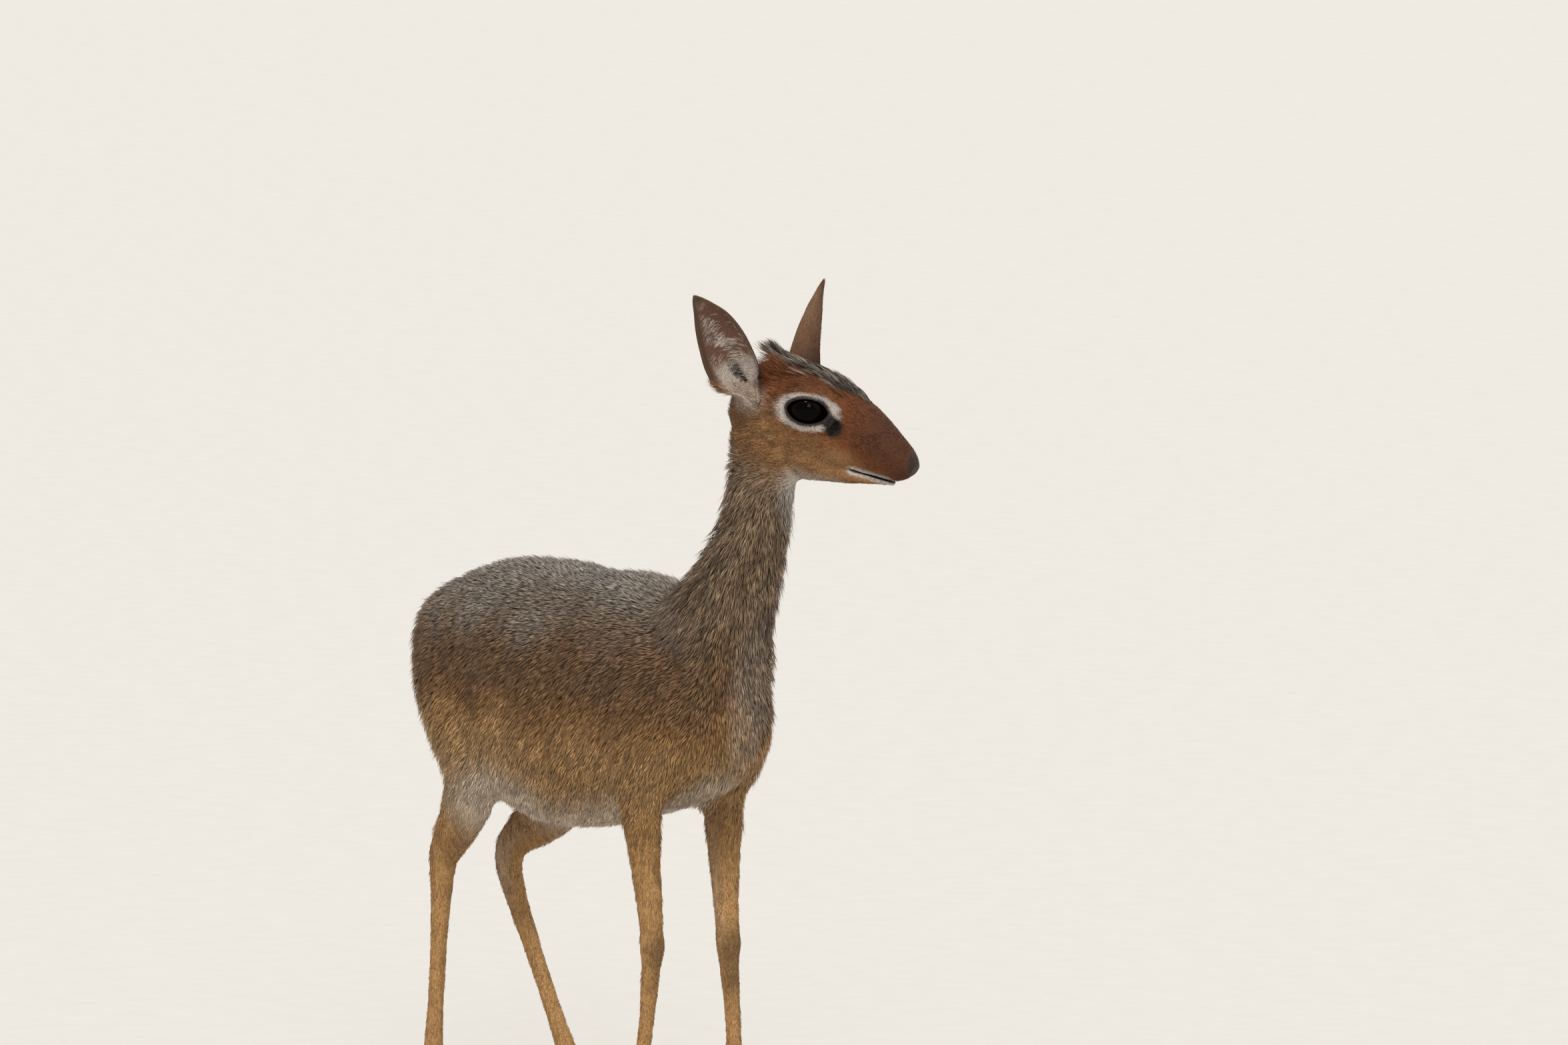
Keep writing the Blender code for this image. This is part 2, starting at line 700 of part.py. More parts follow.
def make_head(near_neck):
    def weight(points):
        local = np.array(HEAD.inverted())
        a = points @ local[0, :3] + local[0, 3]
        return np.clip((0.075 - a) / 0.02, 0.15, 1.0)

    head = fused("head", head_forms() + [near_neck], HEAD_GRAIN, 3, (14, weight))
    path = mouth_path(head.data)
    rims = [lid_ring(side) for side in (-1, 1)]
    lips = [along_mouth(path, LIP_RADIUS * side, LIP_RADIUS, LIP_RADIUS, 8) for side in (-1, 1)]
    forms = add_object("forms", together([head.data] + rims + lips))
    remesh = forms.modifiers.new("fuse", "REMESH")
    remesh.mode = "VOXEL"
    remesh.voxel_size = HEAD_GRAIN * 0.8
    applied(forms)
    relaxed(forms.data, 3, (2, lambda points: np.ones(len(points))))
    head.data = forms.data
    bpy.data.objects.remove(forms)
    point, normal = NECK_TOP_CUT
    normal = Vector(normal).normalized()
    kept_side(head, Vector(point) + normal * SEAM / 2, normal)
    thinned(head, HEAD_TRIANGLES)
    tidied(head)
    for side in (-1, 1):
        combined(head, opening_tool(side), "DIFFERENCE")
        combined(head, ball((0, 0, 0), (EYE_RADIUS + SEAM * 1.3,) * 3, eye_frame(side), 24, 16), "DIFFERENCE")
        combined(head, ball(mirrored(GLAND_PLACE, side), (0.0052, 0.0030, 0.0058), HEAD, 14, 8), "DIFFERENCE")
        nostril = Matrix.Translation(mirrored(NOSTRIL, side)) @ Matrix.Rotation(
            math.radians(-28 * side), 4, "Z"
        ) @ Matrix.Rotation(math.radians(-30), 4, "Y")
        combined(head, ball((0, 0, 0), (0.0040, 0.0026, 0.0019), HEAD @ nostril, 12, 8), "DIFFERENCE")
    combined(head, along_mouth(path, 0.0, 0.0030, 0.0006, 8), "DIFFERENCE")
    return with_locks(head)


def make_eye(name, side):
    obj = add_object(name, ball((0, 0, 0), (EYE_RADIUS,) * 3, eye_frame(side), 20, 12))
    return obj


# Ears
def ear_rows(lean, half, face, bow_back, thick):
    """Points of the ear's cup as rows from root to tip, set off by thick along its normal."""
    up = Vector(lean).normalized()
    length = Vector(lean).length
    ahead = Vector(face)
    ahead = (ahead - up * ahead.dot(up)).normalized()
    across = up.cross(ahead)
    rows = []
    for along, wide, curl, shift in smooth_rows(EAR_SHAPE, 2):
        curl = math.radians(curl)
        radius = half * wide / math.sin(min(curl, math.pi / 2))
        bow = bow_back * math.sin(math.pi * along)
        centre = up * (length * along) - ahead * bow + across * (half * shift)
        row = []
        for v in np.linspace(-1, 1, EAR_SIDES):
            angle = v * curl
            out = across * math.sin(angle) - ahead * math.cos(angle)
            row.append(centre + ahead * (radius * 0.85) + out * (radius + thick))
        rows.append(row)
    return rows


def make_ear(name):
    root, lean, half, face, bow_back = EARS[name.split("_")[1]]
    side = 1 if name.endswith("left") else -1
    inner = ear_rows(lean, half, face, bow_back, -0.0008)
    outer = ear_rows(lean, half, face, bow_back, 0.0009)
    count = len(inner)
    root = HEAD @ mirrored(root, side)
    turn = LEVEL_HEAD.to_3x3()
    points = [root + turn @ p for row in inner for p in row]
    points += [root + turn @ p for row in outer for p in row]
    wide = len(inner[0])
    shift = count * wide
    faces = []
    for r in range(count - 1):
        for c in range(wide - 1):
            a = r * wide + c
            faces.append((a, a + 1, a + wide + 1, a + wide))
            faces.append((a + shift, a + wide + shift, a + wide + 1 + shift, a + 1 + shift))
        for c in (0, wide - 1):
            a = r * wide + c
            faces.append((a, a + wide, a + wide + shift, a + shift))
    for r in (0, count - 1):
        for c in range(wide - 1):
            a = r * wide + c
            faces.append((a, a + 1, a + 1 + shift, a + shift))
    return add_object(name, mesh_of(points, faces))


# Body
def foot_frame(leg):
    """Where a foot stands and the matrix of its direction."""
    out, ahead = FEET[leg]
    side = 1 if leg.endswith("left") else -1
    fetlock = Vector(LEGS[leg][-1][:3])
    turn = Matrix.Rotation(math.radians(out * side), 4, "Z")
    place = fetlock + turn.to_3x3() @ Vector((ahead, 0, 0))
    return Matrix.Translation((place.x, place.y, 0)) @ turn


def pasterns(leg):
    """The two short forms from the fetlock to the hooves and the dew claws behind."""
    frame = foot_frame(leg)
    fetlock = frame.inverted() @ Vector(LEGS[leg][-1][:3])
    turn = math.degrees(frame.to_euler().z)
    forms = []
    for toe in (-1, 1):
        keys = [
            (fetlock.x + 0.0005, 0.0016 * toe, fetlock.z + 0.006, 0.0050, 0.0068),
            (fetlock.x + 0.0020, 0.0026 * toe, fetlock.z - 0.004, 0.0050, 0.0070),
            (fetlock.x * 0.55, 0.0034 * toe, 0.029, 0.0040, 0.0056),
            (-0.0020, 0.0044 * toe, 0.018, 0.0041, 0.0078),
            (0.0015, 0.0047 * toe, 0.006, 0.0042, 0.0092),
        ]
        keys = [(*(frame @ Vector(k[:3])), k[3], k[4]) for k in keys]
        forms.append(limb(keys, 14, (turn, turn)))
        claw = frame @ Matrix.Translation((fetlock.x - 0.0070, 0.0052 * toe, fetlock.z - 0.0055))
        forms.append(ball((0, 0, 0), (0.0028, 0.0023, 0.0048), claw @ Matrix.Rotation(0.35, 4, "Y"), 12, 8))
    return forms


def body_forms():
    forms = [
        axis_loft(TRUNK, 4, 40, TRUNK_SQUARENESS, Vector, widen=-0.04),
        limb(NECK, 32, NECK_TURN, 2.1),
        limb(CHEST, 28, (0.0, 0.0), 2.2),
    ]
    for leg, keys in LEGS.items():
        out = FEET[leg][0] * (1 if leg.endswith("left") else -1)
        forms.append(limb(keys, 20, (0.0, out)))
        forms += pasterns(leg)
    return forms


def arch_tool(arch, side, grow):
    """The solid that parts a leg from the trunk: an arch seen from the side, cut off inside
    by a slanted face, and standing out by grow on every face."""
    middle, height, half, rise, top_y, foot_y, top_z, foot_z = arch
    outline = [(middle + half + grow, -0.02), (middle + half + grow, height)]
    for i in range(1, 16):
        a = math.pi * i / 16
        outline.append((middle + (half + grow) * math.cos(a), height + (rise + grow) * math.sin(a)))
    outline += [(middle - half - grow, height), (middle - half - grow, -0.02)]
    edit = bmesh.new()
    near = [edit.verts.new((x, 0.0, z)) for x, z in outline]
    face = edit.faces.new(near)
    moved = bmesh.ops.extrude_face_region(edit, geom=[face])
    far = [g for g in moved["geom"] if isinstance(g, bmesh.types.BMVert)]
    bmesh.ops.translate(edit, verts=far, vec=(0, 0.12, 0))
    slant = Vector((0, top_z - foot_z, foot_y - top_y)).normalized()
    for point, normal in (
        (Vector((0, foot_y, foot_z)) - slant * grow, slant),
        (Vector((0, foot_y - grow, 0)), Vector((0, 1, 0))),
    ):
        cut = bmesh.ops.bisect_plane(
            edit,
            geom=edit.verts[:] + edit.edges[:] + edit.faces[:],
            dist=1e-7,
            plane_co=point,
            plane_no=normal,
            clear_inner=True,
        )
        rim = [g for g in cut["geom_cut"] if isinstance(g, bmesh.types.BMEdge)]
        bmesh.ops.holes_fill(edit, edges=rim, sides=0)
    bmesh.ops.scale(edit, vec=(1, side, 1), verts=edit.verts)
    bmesh.ops.triangulate(edit, faces=edit.faces)
    bmesh.ops.recalc_face_normals(edit, faces=edit.faces)
    mesh = bpy.data.meshes.new("arch")
    edit.to_mesh(mesh)
    edit.free()
    return mesh


def leg_plane(leg, height):
    """The point and the downward direction of a leg's middle line at a height."""
    rows = [Vector(row[:3]) for row in smooth_rows(LEGS[leg], 8)]
    at = min(range(1, len(rows) - 1), key=lambda i: abs(rows[i].z - height))
    return rows[at], (rows[at + 1] - rows[at - 1]).normalized()


def make_hoof(leg, toe):
    """One toe of a hoof, flat on the ground and cut slanting under the hair."""
    frame = foot_frame(leg)
    base, slope = CORONET
    inner, outer = 0.0006, TOE_HALF_WIDTH * 2
    rings = []
    for share, grow in ((0.0, 0.96), (0.10, 1.0), (0.55, 1.0), (1.0, 1.0)):
        ring = []
        for i in range(16):
            a = 2 * math.pi * i / 16
            c, s = math.cos(a), math.sin(a)
            reach = TOE_LENGTH[1] if c > 0 else TOE_LENGTH[0]
            reach *= grow * (1 - (0.55 if c > 0 else 0.14) * share)
            narrow = 1 - 0.50 * (1 - 0.6 * share) * max(c, 0) ** 2.2
            y = (inner + outer) / 2 + (outer - inner) / 2 * s * narrow * grow * (1 - 0.05 * share)
            x = reach * c
            z = share * (base + slope * x - SEAM)
            ring.append(frame @ Vector((x, y * toe, z)))
        rings.append(ring)
    which = "outer" if (toe > 0) == leg.endswith("left") else "inner"
    return add_object("hoof_" + leg + "_" + which, skin_rings(rings))


def make_body():
    def weight(points):
        return np.clip((points[:, 2] - 0.185) / 0.05, 0.0, 1.0)

    torso = fused("torso", body_forms(), BODY_GRAIN, 5, (22, weight))
    thinned(torso, BODY_TRIANGLES)
    tidied(torso)
    point, normal = [Vector(v) for v in NECK_TOP_CUT]
    normal.normalize()
    kept_side(torso, point - normal * SEAM / 2, -normal)
    neck = split(torso, "neck", *NECK_BASE_CUT)
    parts = [torso, neck]
    for leg in LEGS:
        side = 1 if leg.endswith("left") else -1
        arch = HIP_ARCH if leg.startswith("hind") else SHOULDER_ARCH
        upper = copy_of(torso, leg + ("_thigh" if leg.startswith("hind") else "_shoulder"))
        combined(upper, arch_tool(arch, side, 0.0), "INTERSECT")
        combined(torso, arch_tool(arch, side, SEAM), "DIFFERENCE")
        parts.append(upper)
        below = upper
        if leg.startswith("hind"):
            below = split(upper, leg + "_shank", leg_plane(leg, STIFLE_CUT)[0], (-0.3, 0, -1))
        else:
            below = split(upper, leg + "_forearm", leg_plane(leg, ELBOW_CUT)[0], (0, 0, -1))
        parts.append(below)
        height = HOCK_CUT if leg.startswith("hind") else KNEE_CUT
        lower = split(below, leg + "_cannon", *leg_plane(leg, height))
        frame = foot_frame(leg)
        base, slope = CORONET
        kept_side(lower, frame @ Vector((0, 0, base)), frame.to_3x3() @ Vector((-slope, 0, 1)))
        parts.append(lower)
        parts += [make_hoof(leg, toe) for toe in (-1, 1)]
    return parts


def material(name, colour, roughness):
    made = bpy.data.materials.new(name)
    made.use_nodes = True
    shader = made.node_tree.nodes["Principled BSDF"]
    shader.inputs["Base Color"].default_value = (*colour, 1)
    shader.inputs["Roughness"].default_value = roughness
    return made


def main():
    clear_scene()
    parts = make_body()
    torso, neck = parts[:2]
    top = limb(NECK, 32, NECK_TURN, 2.1)
    head = make_head(top)
    tail = add_object("tail", limb(TAIL, 16, (0.0, 0.0)))
    combined(tail, swollen(torso.data, SEAM), "DIFFERENCE")
    ears = []
    for name in ("ear_right", "ear_left"):
        ear = make_ear(name)
        combined(ear, swollen(head.data, SEAM), "DIFFERENCE")
        ears.append(ear)
    eyes = [make_eye("eye_right", -1), make_eye("eye_left", 1)]
    parts += [head, tail] + ears + eyes
    coat = material("coat", (0.30, 0.22, 0.15), 0.8)
    russet = material("russet_coat", (0.45, 0.25, 0.12), 0.8)
    horn = material("horn", (0.045, 0.035, 0.03), 0.45)
    dark = material("eye", (0.01, 0.008, 0.006), 0.08)
    for part in parts:
        part.data.transform(Matrix.Translation((-BOX_CENTRE[0], -BOX_CENTRE[1], 0)))
    animal = bpy.data.objects.new("dik_dik", None)
    bpy.context.scene.collection.objects.link(animal)
    for part in parts:
        slot = coat
        if part.name.startswith("hoof"):
            slot = horn
        elif part.name.startswith("eye"):
            slot = dark
        elif part.name.startswith(("head", "ear")) or part.name.endswith(("_cannon", "_shank")):
            slot = russet
        part.data.materials.clear()
        part.data.materials.append(slot)
        part.parent = animal
    return parts


if __name__ == "__main__":
    main()
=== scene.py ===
# %% [markdown]
# # A dik-dik, life size, standing
#
# A dik-dik is an antelope no taller than a hare is long: a round grizzled body on very thin
# legs, a long neck, large dark eyes in pale rings and a stiff crest between the ears. Here
# it stands with its side to us and its head a little turned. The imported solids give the
# pose and the outline out to the tips of the coat. This lesson puts one smooth skin inside
# them, adds the eyes and hooves, and grows a coat of solid hairs over the skin.

# %% The frame and the tools
import math

import bmesh
import bpy
import numpy as np
from mathutils import Matrix, Vector
from mathutils.bvhtree import BVHTree


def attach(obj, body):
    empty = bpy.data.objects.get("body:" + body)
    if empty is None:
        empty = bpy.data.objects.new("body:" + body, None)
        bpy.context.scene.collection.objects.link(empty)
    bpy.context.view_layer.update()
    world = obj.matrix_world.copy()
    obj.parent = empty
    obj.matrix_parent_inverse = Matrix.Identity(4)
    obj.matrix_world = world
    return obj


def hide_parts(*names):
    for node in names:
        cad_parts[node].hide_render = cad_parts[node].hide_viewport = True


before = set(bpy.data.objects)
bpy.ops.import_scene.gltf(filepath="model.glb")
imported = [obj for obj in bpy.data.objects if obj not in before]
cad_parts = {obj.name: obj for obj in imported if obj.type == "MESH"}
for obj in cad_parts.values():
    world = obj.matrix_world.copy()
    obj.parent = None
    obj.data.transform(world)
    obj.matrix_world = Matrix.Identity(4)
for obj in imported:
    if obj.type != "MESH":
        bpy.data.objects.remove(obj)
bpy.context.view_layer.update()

# %% [markdown]
# ## Camera
#
# The photograph was taken from far off with a long lens, a little above the animal's back.
# A camera could be matched by eye, but here three numbers measured on the animal do it: how
# far round it stands, how high it looks down, and how many pixels a metre covers. Places on
# the body are easiest to name from a point under its withers, so one vector shifts them.

# %% Camera
PHOTO = (2352, 1568)
PIXELS_PER_METRE = 2280.0
WITHERS_PIXEL = (866.0, 1707.0)
CAMERA_ROUND = math.radians(55)
CAMERA_DOWN = math.radians(5)
CAMERA_AWAY = 12.0
BODY_ORIGIN = Vector((0.0462, 0.0146, 0.0))

right = Vector((math.cos(CAMERA_ROUND), math.sin(CAMERA_ROUND), 0))
level_back = Vector((math.sin(CAMERA_ROUND), -math.cos(CAMERA_ROUND), 0))
back = level_back * math.cos(CAMERA_DOWN) + Vector((0, 0, math.sin(CAMERA_DOWN)))
above = Vector((0, 0, math.cos(CAMERA_DOWN))) - level_back * math.sin(CAMERA_DOWN)
target = right * ((PHOTO[0] / 2 - WITHERS_PIXEL[0]) / PIXELS_PER_METRE)
target += above * ((WITHERS_PIXEL[1] - PHOTO[1] / 2) / PIXELS_PER_METRE)
target -= BODY_ORIGIN

lens = bpy.data.cameras.new("camera")
lens.sensor_width = 36.0
lens.lens = lens.sensor_width * CAMERA_AWAY / (PHOTO[0] / PIXELS_PER_METRE)
lens.clip_end = 200.0
camera = bpy.data.objects.new("camera", lens)
bpy.context.scene.collection.objects.link(camera)
camera.location = target + back * CAMERA_AWAY
camera.rotation_mode = "QUATERNION"
camera.rotation_quaternion = back.to_track_quat("Z", "Y")
bpy.context.scene.camera = camera
print("lens", round(lens.lens, 1), "mm at", CAMERA_AWAY, "m")

# %% [markdown]
# ## Shader sums
#
# A material's colour is a sum of masks and noises. Nodes could be added and linked one by
# one, which hides the sum. A small class wraps a socket, so that a plain expression such as
# `1 - mask * 0.5` adds the nodes itself, and one method adds any other node.


# %% A socket that can be summed
class Wire:
    """A socket of a material, on which sums add Math nodes."""

    def __init__(self, paint, socket):
        self.paint = paint
        self.socket = socket

    def math(self, operation, *values):
        return self.paint.node("ShaderNodeMath", {"operation": operation}, dict(enumerate(values)))

    def __add__(self, other):
        return self.math("ADD", self, other)

    def __sub__(self, other):
        return self.math("SUBTRACT", self, other)

    def __rsub__(self, other):
        return self.math("SUBTRACT", other, self)

    def __mul__(self, other):
        return self.math("MULTIPLY", self, other)

    def between(self, low, high):
        """0 below low, 1 above high and smooth between them."""
        ramp = {0: self, 1: low, 2: high, 3: 0.0, 4: 1.0}
        return self.paint.node("ShaderNodeMapRange", {"interpolation_type": "SMOOTHSTEP"}, ramp)

    __radd__ = __add__
    __rmul__ = __mul__


# %% A material that holds its nodes
class Paint:
    """One material and the nodes that make its finish."""

    def __init__(self, name):
        self.material = bpy.data.materials.new(name)
        self.material.use_nodes = True
        self.tree = self.material.node_tree
        self.shader = self.tree.nodes["Principled BSDF"]

    def put(self, socket, value):
        if isinstance(value, Wire):
            self.tree.links.new(value.socket, socket)
        else:
            socket.default_value = value

    def node(self, kind, settings=None, sockets=None, out=0):
        made = self.tree.nodes.new(kind)
        for name, value in (settings or {}).items():
            setattr(made, name, value)
        for name, value in (sockets or {}).items():
            self.put(made.inputs[name], value)
        return Wire(self, made.outputs[out])

    def mix(self, mask, first, second, blend="MIX"):
        """The first colour where the mask is 0 and the second where it is 1."""
        settings = {"data_type": "RGBA", "blend_type": blend}
        return self.node("ShaderNodeMix", settings, {0: mask, 6: first, 7: second}, out=2)

    def read(self, name):
        """A number that the mesh carries at each point."""
        return self.node("ShaderNodeAttribute", {"attribute_name": name}, out=2)

    def place(self, stretch=(1, 1, 1)):
        """Object coordinates in metres, stretched along each axis."""
        there = self.node("ShaderNodeTexCoord", out=3)
        return self.node("ShaderNodeMapping", {}, {0: there, 3: stretch})

    def noise(self, where, scale, detail=3.0, roughness=0.55):
        sockets = {"Vector": where, "Scale": scale, "Detail": detail, "Roughness": roughness}
        return self.node("ShaderNodeTexNoise", {}, sockets)

    def finish(self, **sockets):
        for name, value in sockets.items():
            self.put(self.shader.inputs[name.replace("_", " ")], value)
        return self.material

    def bump(self, height, distance, strength=1.0):
        sockets = {"Height": height, "Distance": distance, "Strength": strength}
        made = self.node("ShaderNodeBump", {}, sockets)
        self.put(self.shader.inputs["Normal"], made)


def tone(red, green, blue):
    """A colour given as a painter reads it off a screen, 0 to 255, in the shader's units."""
    return tuple((c / 255) ** 2.2 for c in (red, green, blue)) + (1.0,)


# %% [markdown]
# ## Floor and light
#
# A museum model is looked at in soft, even light. A curved backdrop could be built, but the
# camera looks slightly down, so a wide pale floor alone fills the picture behind the legs.
# The key light falls from high on the camera's side, and a wide, weaker one fills from the
# right. A low one beside the camera puts a spark in the eye, one from behind lights the
# edges, and a pale sky lights the rest.

# %% Floor
FLOOR_HALF = 45.0


def keep(name, edit):
    """Turns a finished bmesh into an object."""
    mesh = bpy.data.meshes.new(name)
    edit.to_mesh(mesh)
    edit.free()
    made = bpy.data.objects.new(name, mesh)
    bpy.context.scene.collection.objects.link(made)
    return made


edit = bmesh.new()
bmesh.ops.create_grid(edit, x_segments=1, y_segments=1, size=FLOOR_HALF)
floor = keep("floor", edit)
paint = Paint("pale_floor")
speck = paint.noise(paint.place(), 40.0)
floor.data.materials.append(
    paint.finish(
        Base_Color=paint.mix(speck, tone(206, 201, 192), tone(212, 208, 200)),
        Roughness=0.9,
    )
)
print("the floor is", 2 * FLOOR_HALF, "m wide")

# %% Lights
# Each row: how far it stands to the right, behind the camera and up, its strength, how wide
# it looks in degrees, and its colour.
LIGHTS = {
    "key": (-0.35, 0.9, 1.05, 2.1, 14, (1.0, 0.96, 0.90)),
    "fill": (1.0, 0.5, 0.45, 0.5, 60, (0.94, 0.97, 1.0)),
    "catch": (0.06, 1.0, 0.34, 0.5, 20, (0.90, 0.95, 1.0)),
    "rim": (0.3, -1.0, 0.9, 0.9, 30, (1.0, 0.98, 0.95)),
}
SKY_COLOUR = (0.93, 0.95, 1.0, 1)
SKY_STRENGTH = 0.55

for name, (to_right, to_back, up, power, wide, colour) in LIGHTS.items():
    data = bpy.data.lights.new(name, "SUN")
    data.energy = power
    data.angle = math.radians(wide)
    data.color = colour
    light = bpy.data.objects.new(name, data)
    bpy.context.scene.collection.objects.link(light)
    light.rotation_mode = "QUATERNION"
    toward = right * to_right + back * to_back + Vector((0, 0, up))
    light.rotation_quaternion = toward.to_track_quat("Z", "Y")
world = bpy.data.worlds.new("pale_sky")
world.use_nodes = True
sky = world.node_tree.nodes["Background"].inputs
sky["Color"].default_value = SKY_COLOUR
sky["Strength"].default_value = SKY_STRENGTH
bpy.context.scene.world = world
bpy.context.scene.view_settings.view_transform = "Standard"
print("lights:", ", ".join(LIGHTS))

# %% [markdown]
# ## Forms under the skin
#
# The body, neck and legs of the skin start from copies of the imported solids, so they can't
# miss the pose. The head is built again from rings, because the solid head carries coarse
# locks that hair will stand in for. A ring starts as a circle, takes the shape of a cross
# section, and is bridged to the next.


# %% Helpers for forms
def join(whole, part):
    """Adds a finished bmesh to a larger one."""
    mesh = bpy.data.meshes.new("part")
    part.to_mesh(mesh)
    part.free()
    whole.from_mesh(mesh)
    bpy.data.meshes.remove(mesh)


def modify(obj, kind, **settings):
    """Adds one modifier with its settings."""
    step = obj.modifiers.new(kind.lower(), kind)
    for name, value in settings.items():
        setattr(step, name, value)


def apply_all(obj):
    """Gives an object the mesh that its modifiers make."""
    graph = bpy.context.evaluated_depsgraph_get()
    mesh = bpy.data.meshes.new_from_object(obj.evaluated_get(graph))
    obj.modifiers.clear()
    obj.data = mesh


def smooth_rows(keys, steps):
    """Rows of numbers on a smooth curve through the key rows."""
    k = np.array(keys, float)
    k = np.vstack([2 * k[0] - k[1], k, 2 * k[-1] - k[-2]])
    rows = []
    for i in range(1, len(k) - 2):
        for step in range(steps):
            t = step / steps
            slope = (k[i + 1] - k[i - 1]) * t
            bend = (2 * k[i - 1] - 5 * k[i] + 4 * k[i + 1] - k[i + 2]) * t**2
            twist = (3 * k[i] - k[i - 1] - 3 * k[i + 1] + k[i + 2]) * t**3
            rows.append(0.5 * (2 * k[i] + slope + bend + twist))
    return np.array(rows + [k[-2]])


def oval(angle, squareness):
    """A point of a unit circle, squared off a little."""
    c, s = math.cos(angle), math.sin(angle)
    power = 2 / squareness
    return math.copysign(abs(c) ** power, c), math.copysign(abs(s) ** power, s)


def loft(edit, rings):
    """Bridges rings of points into one closed form."""
    loops = []
    for ring in rings:
        verts = bmesh.ops.create_circle(edit, segments=len(ring), radius=1.0)["verts"]
        for vert, point in zip(verts, ring):
            vert.co = point
        loops.append(list(dict.fromkeys(e for v in verts for e in v.link_edges)))
    for near, far in zip(loops, loops[1:]):
        bmesh.ops.bridge_loops(edit, edges=near + far)
    for loop in (loops[0], loops[-1]):
        bmesh.ops.holes_fill(edit, edges=loop, sides=0)


def ball(edit, centre, radii, place, segments=24, rings=16):
    """A sphere stretched along the three axes of a frame."""
    shape = Matrix.Translation(centre) @ Matrix.Diagonal((*radii, 1))
    bmesh.ops.create_uvsphere(
        edit, u_segments=segments, v_segments=rings, radius=1.0, matrix=place @ shape
    )


# %% [markdown]
# ## Head
#
# The skull tapers to the long, soft snout that a dik-dik cools its blood with. It is lofted
# along its own axis, `a` forward, then `y` to the animal's left and `n` up, so every place
# on the face has a short name. The jaw is a second loft under it, balls give the brow,
# cheek and eye sockets, and a thin ring round each eye becomes the lids. A third loft, the
# nape, carries the head on the neck.

# %% Sizes of the head
HEAD_CENTRE = Vector((0.183, 0.024, 0.499)) - BODY_ORIGIN
HEAD_TURN = Matrix.Rotation(math.radians(33), 4, "Z")
LEVEL_HEAD = Matrix.Translation(HEAD_CENTRE) @ HEAD_TURN
LEVEL_TURN = LEVEL_HEAD.to_3x3()
HEAD = LEVEL_HEAD @ Matrix.Rotation(math.radians(25), 4, "Y")
ROW_STEPS = 4
SQUARENESS = 2.2
NAPE_SQUARENESS = 2.1
# Rows of the skull and the jaw: a, top, bottom and half width, in metres.
SKULL = [
    (-0.0200, 0.008, -0.012, 0.010),
    (-0.0155, 0.018, -0.024, 0.0185),
    (-0.0040, 0.0270, -0.034, 0.0235),
    (0.010, 0.0315, -0.040, 0.0258),
    (0.026, 0.0335, -0.0405, 0.0268),
    (0.040, 0.0335, -0.038, 0.0262),
    (0.052, 0.0330, -0.033, 0.0235),
    (0.065, 0.0308, -0.026, 0.0195),
    (0.080, 0.0264, -0.0150, 0.0162),
    (0.092, 0.0216, -0.0122, 0.0140),
    (0.103, 0.0168, -0.0085, 0.0120),
    (0.109, 0.0130, -0.0045, 0.0100),
    (0.1130, 0.0085, 0.0008, 0.0062),
]
JAW = [
    (0.028, -0.020, -0.0410, 0.0190),
    (0.044, -0.018, -0.0375, 0.0175),
    (0.060, -0.0120, -0.0302, 0.0166),
    (0.076, -0.0120, -0.0235, 0.0134),
    (0.089, -0.0120, -0.0174, 0.0106),
    (0.097, -0.0105, -0.0138, 0.0082),
    (0.1015, -0.0098, -0.0120, 0.0042),
]
MOUTH = [(0.0765, -0.0128), (0.0825, -0.0120), (0.0885, -0.0108), (0.0945, -0.0097), (0.0990, -0.0089)]
MOUTH_FRONT = -0.0085
LIP_RADIUS = 0.0014
# Rows of the nape: a point above the withers' foot, half width and half depth.
NAPE = [
    (0.1905, 0.012, 0.428, 0.0225, 0.0250),
    (0.190, 0.017, 0.452, 0.0215, 0.0250),
    (0.189, 0.021, 0.476, 0.0212, 0.0252),
    (0.188, 0.025, 0.496, 0.0188, 0.0215),
]
NOSTRIL = (0.1060, 0.0064, 0.0062)
EYE_PLACE = (0.0346, 0.0170, 0.0116)
EYE_RADIUS = 0.0142
EYE_LOOK = (0.30, 0.95, 0.06)
EYE_TILT = math.radians(-17)
OPENING = (0.0136, 0.0082)
LID_RADIUS = 0.0015
LID_CORNERS = 48
GLAND = (0.0572, 0.0212, 0.0090)
# Centre and half sizes of the balls of the face.
BROW = ((0.0360, 0.0130, 0.0105), (0.0270, 0.0172, 0.0195))
SOCKET = (EYE_PLACE, (0.0172, 0.0168, 0.0166))
CHEEK = ((0.037, 0.0095, -0.0200), (0.0270, 0.0145, 0.0150))
SIDES = (-1, 1)


# %% Frames of the face
def on_side(place, side):
    """A place on the left of the head, or its mirror image on the right."""
    return Vector((place[0], place[1] * side, place[2]))


def eye_frame(side):
    """Z looks out of the eye, X runs forward along its opening."""
    look = on_side(EYE_LOOK, side).normalized()
    ahead = Vector((math.cos(EYE_TILT), 0, -math.sin(EYE_TILT)))
    along = (ahead - look * ahead.dot(look)).normalized()
    turned = Matrix((along, look.cross(along), look)).transposed().to_4x4()
    return HEAD @ Matrix.Translation(on_side(EYE_PLACE, side)) @ turned


def almond(angle, grow=1.0):
    """Outline of the eye's opening, a little pointed at both corners."""
    c, s = math.cos(angle), math.sin(angle)
    return OPENING[0] * c * grow, OPENING[1] * math.copysign(abs(s) ** 1.15, s) * grow


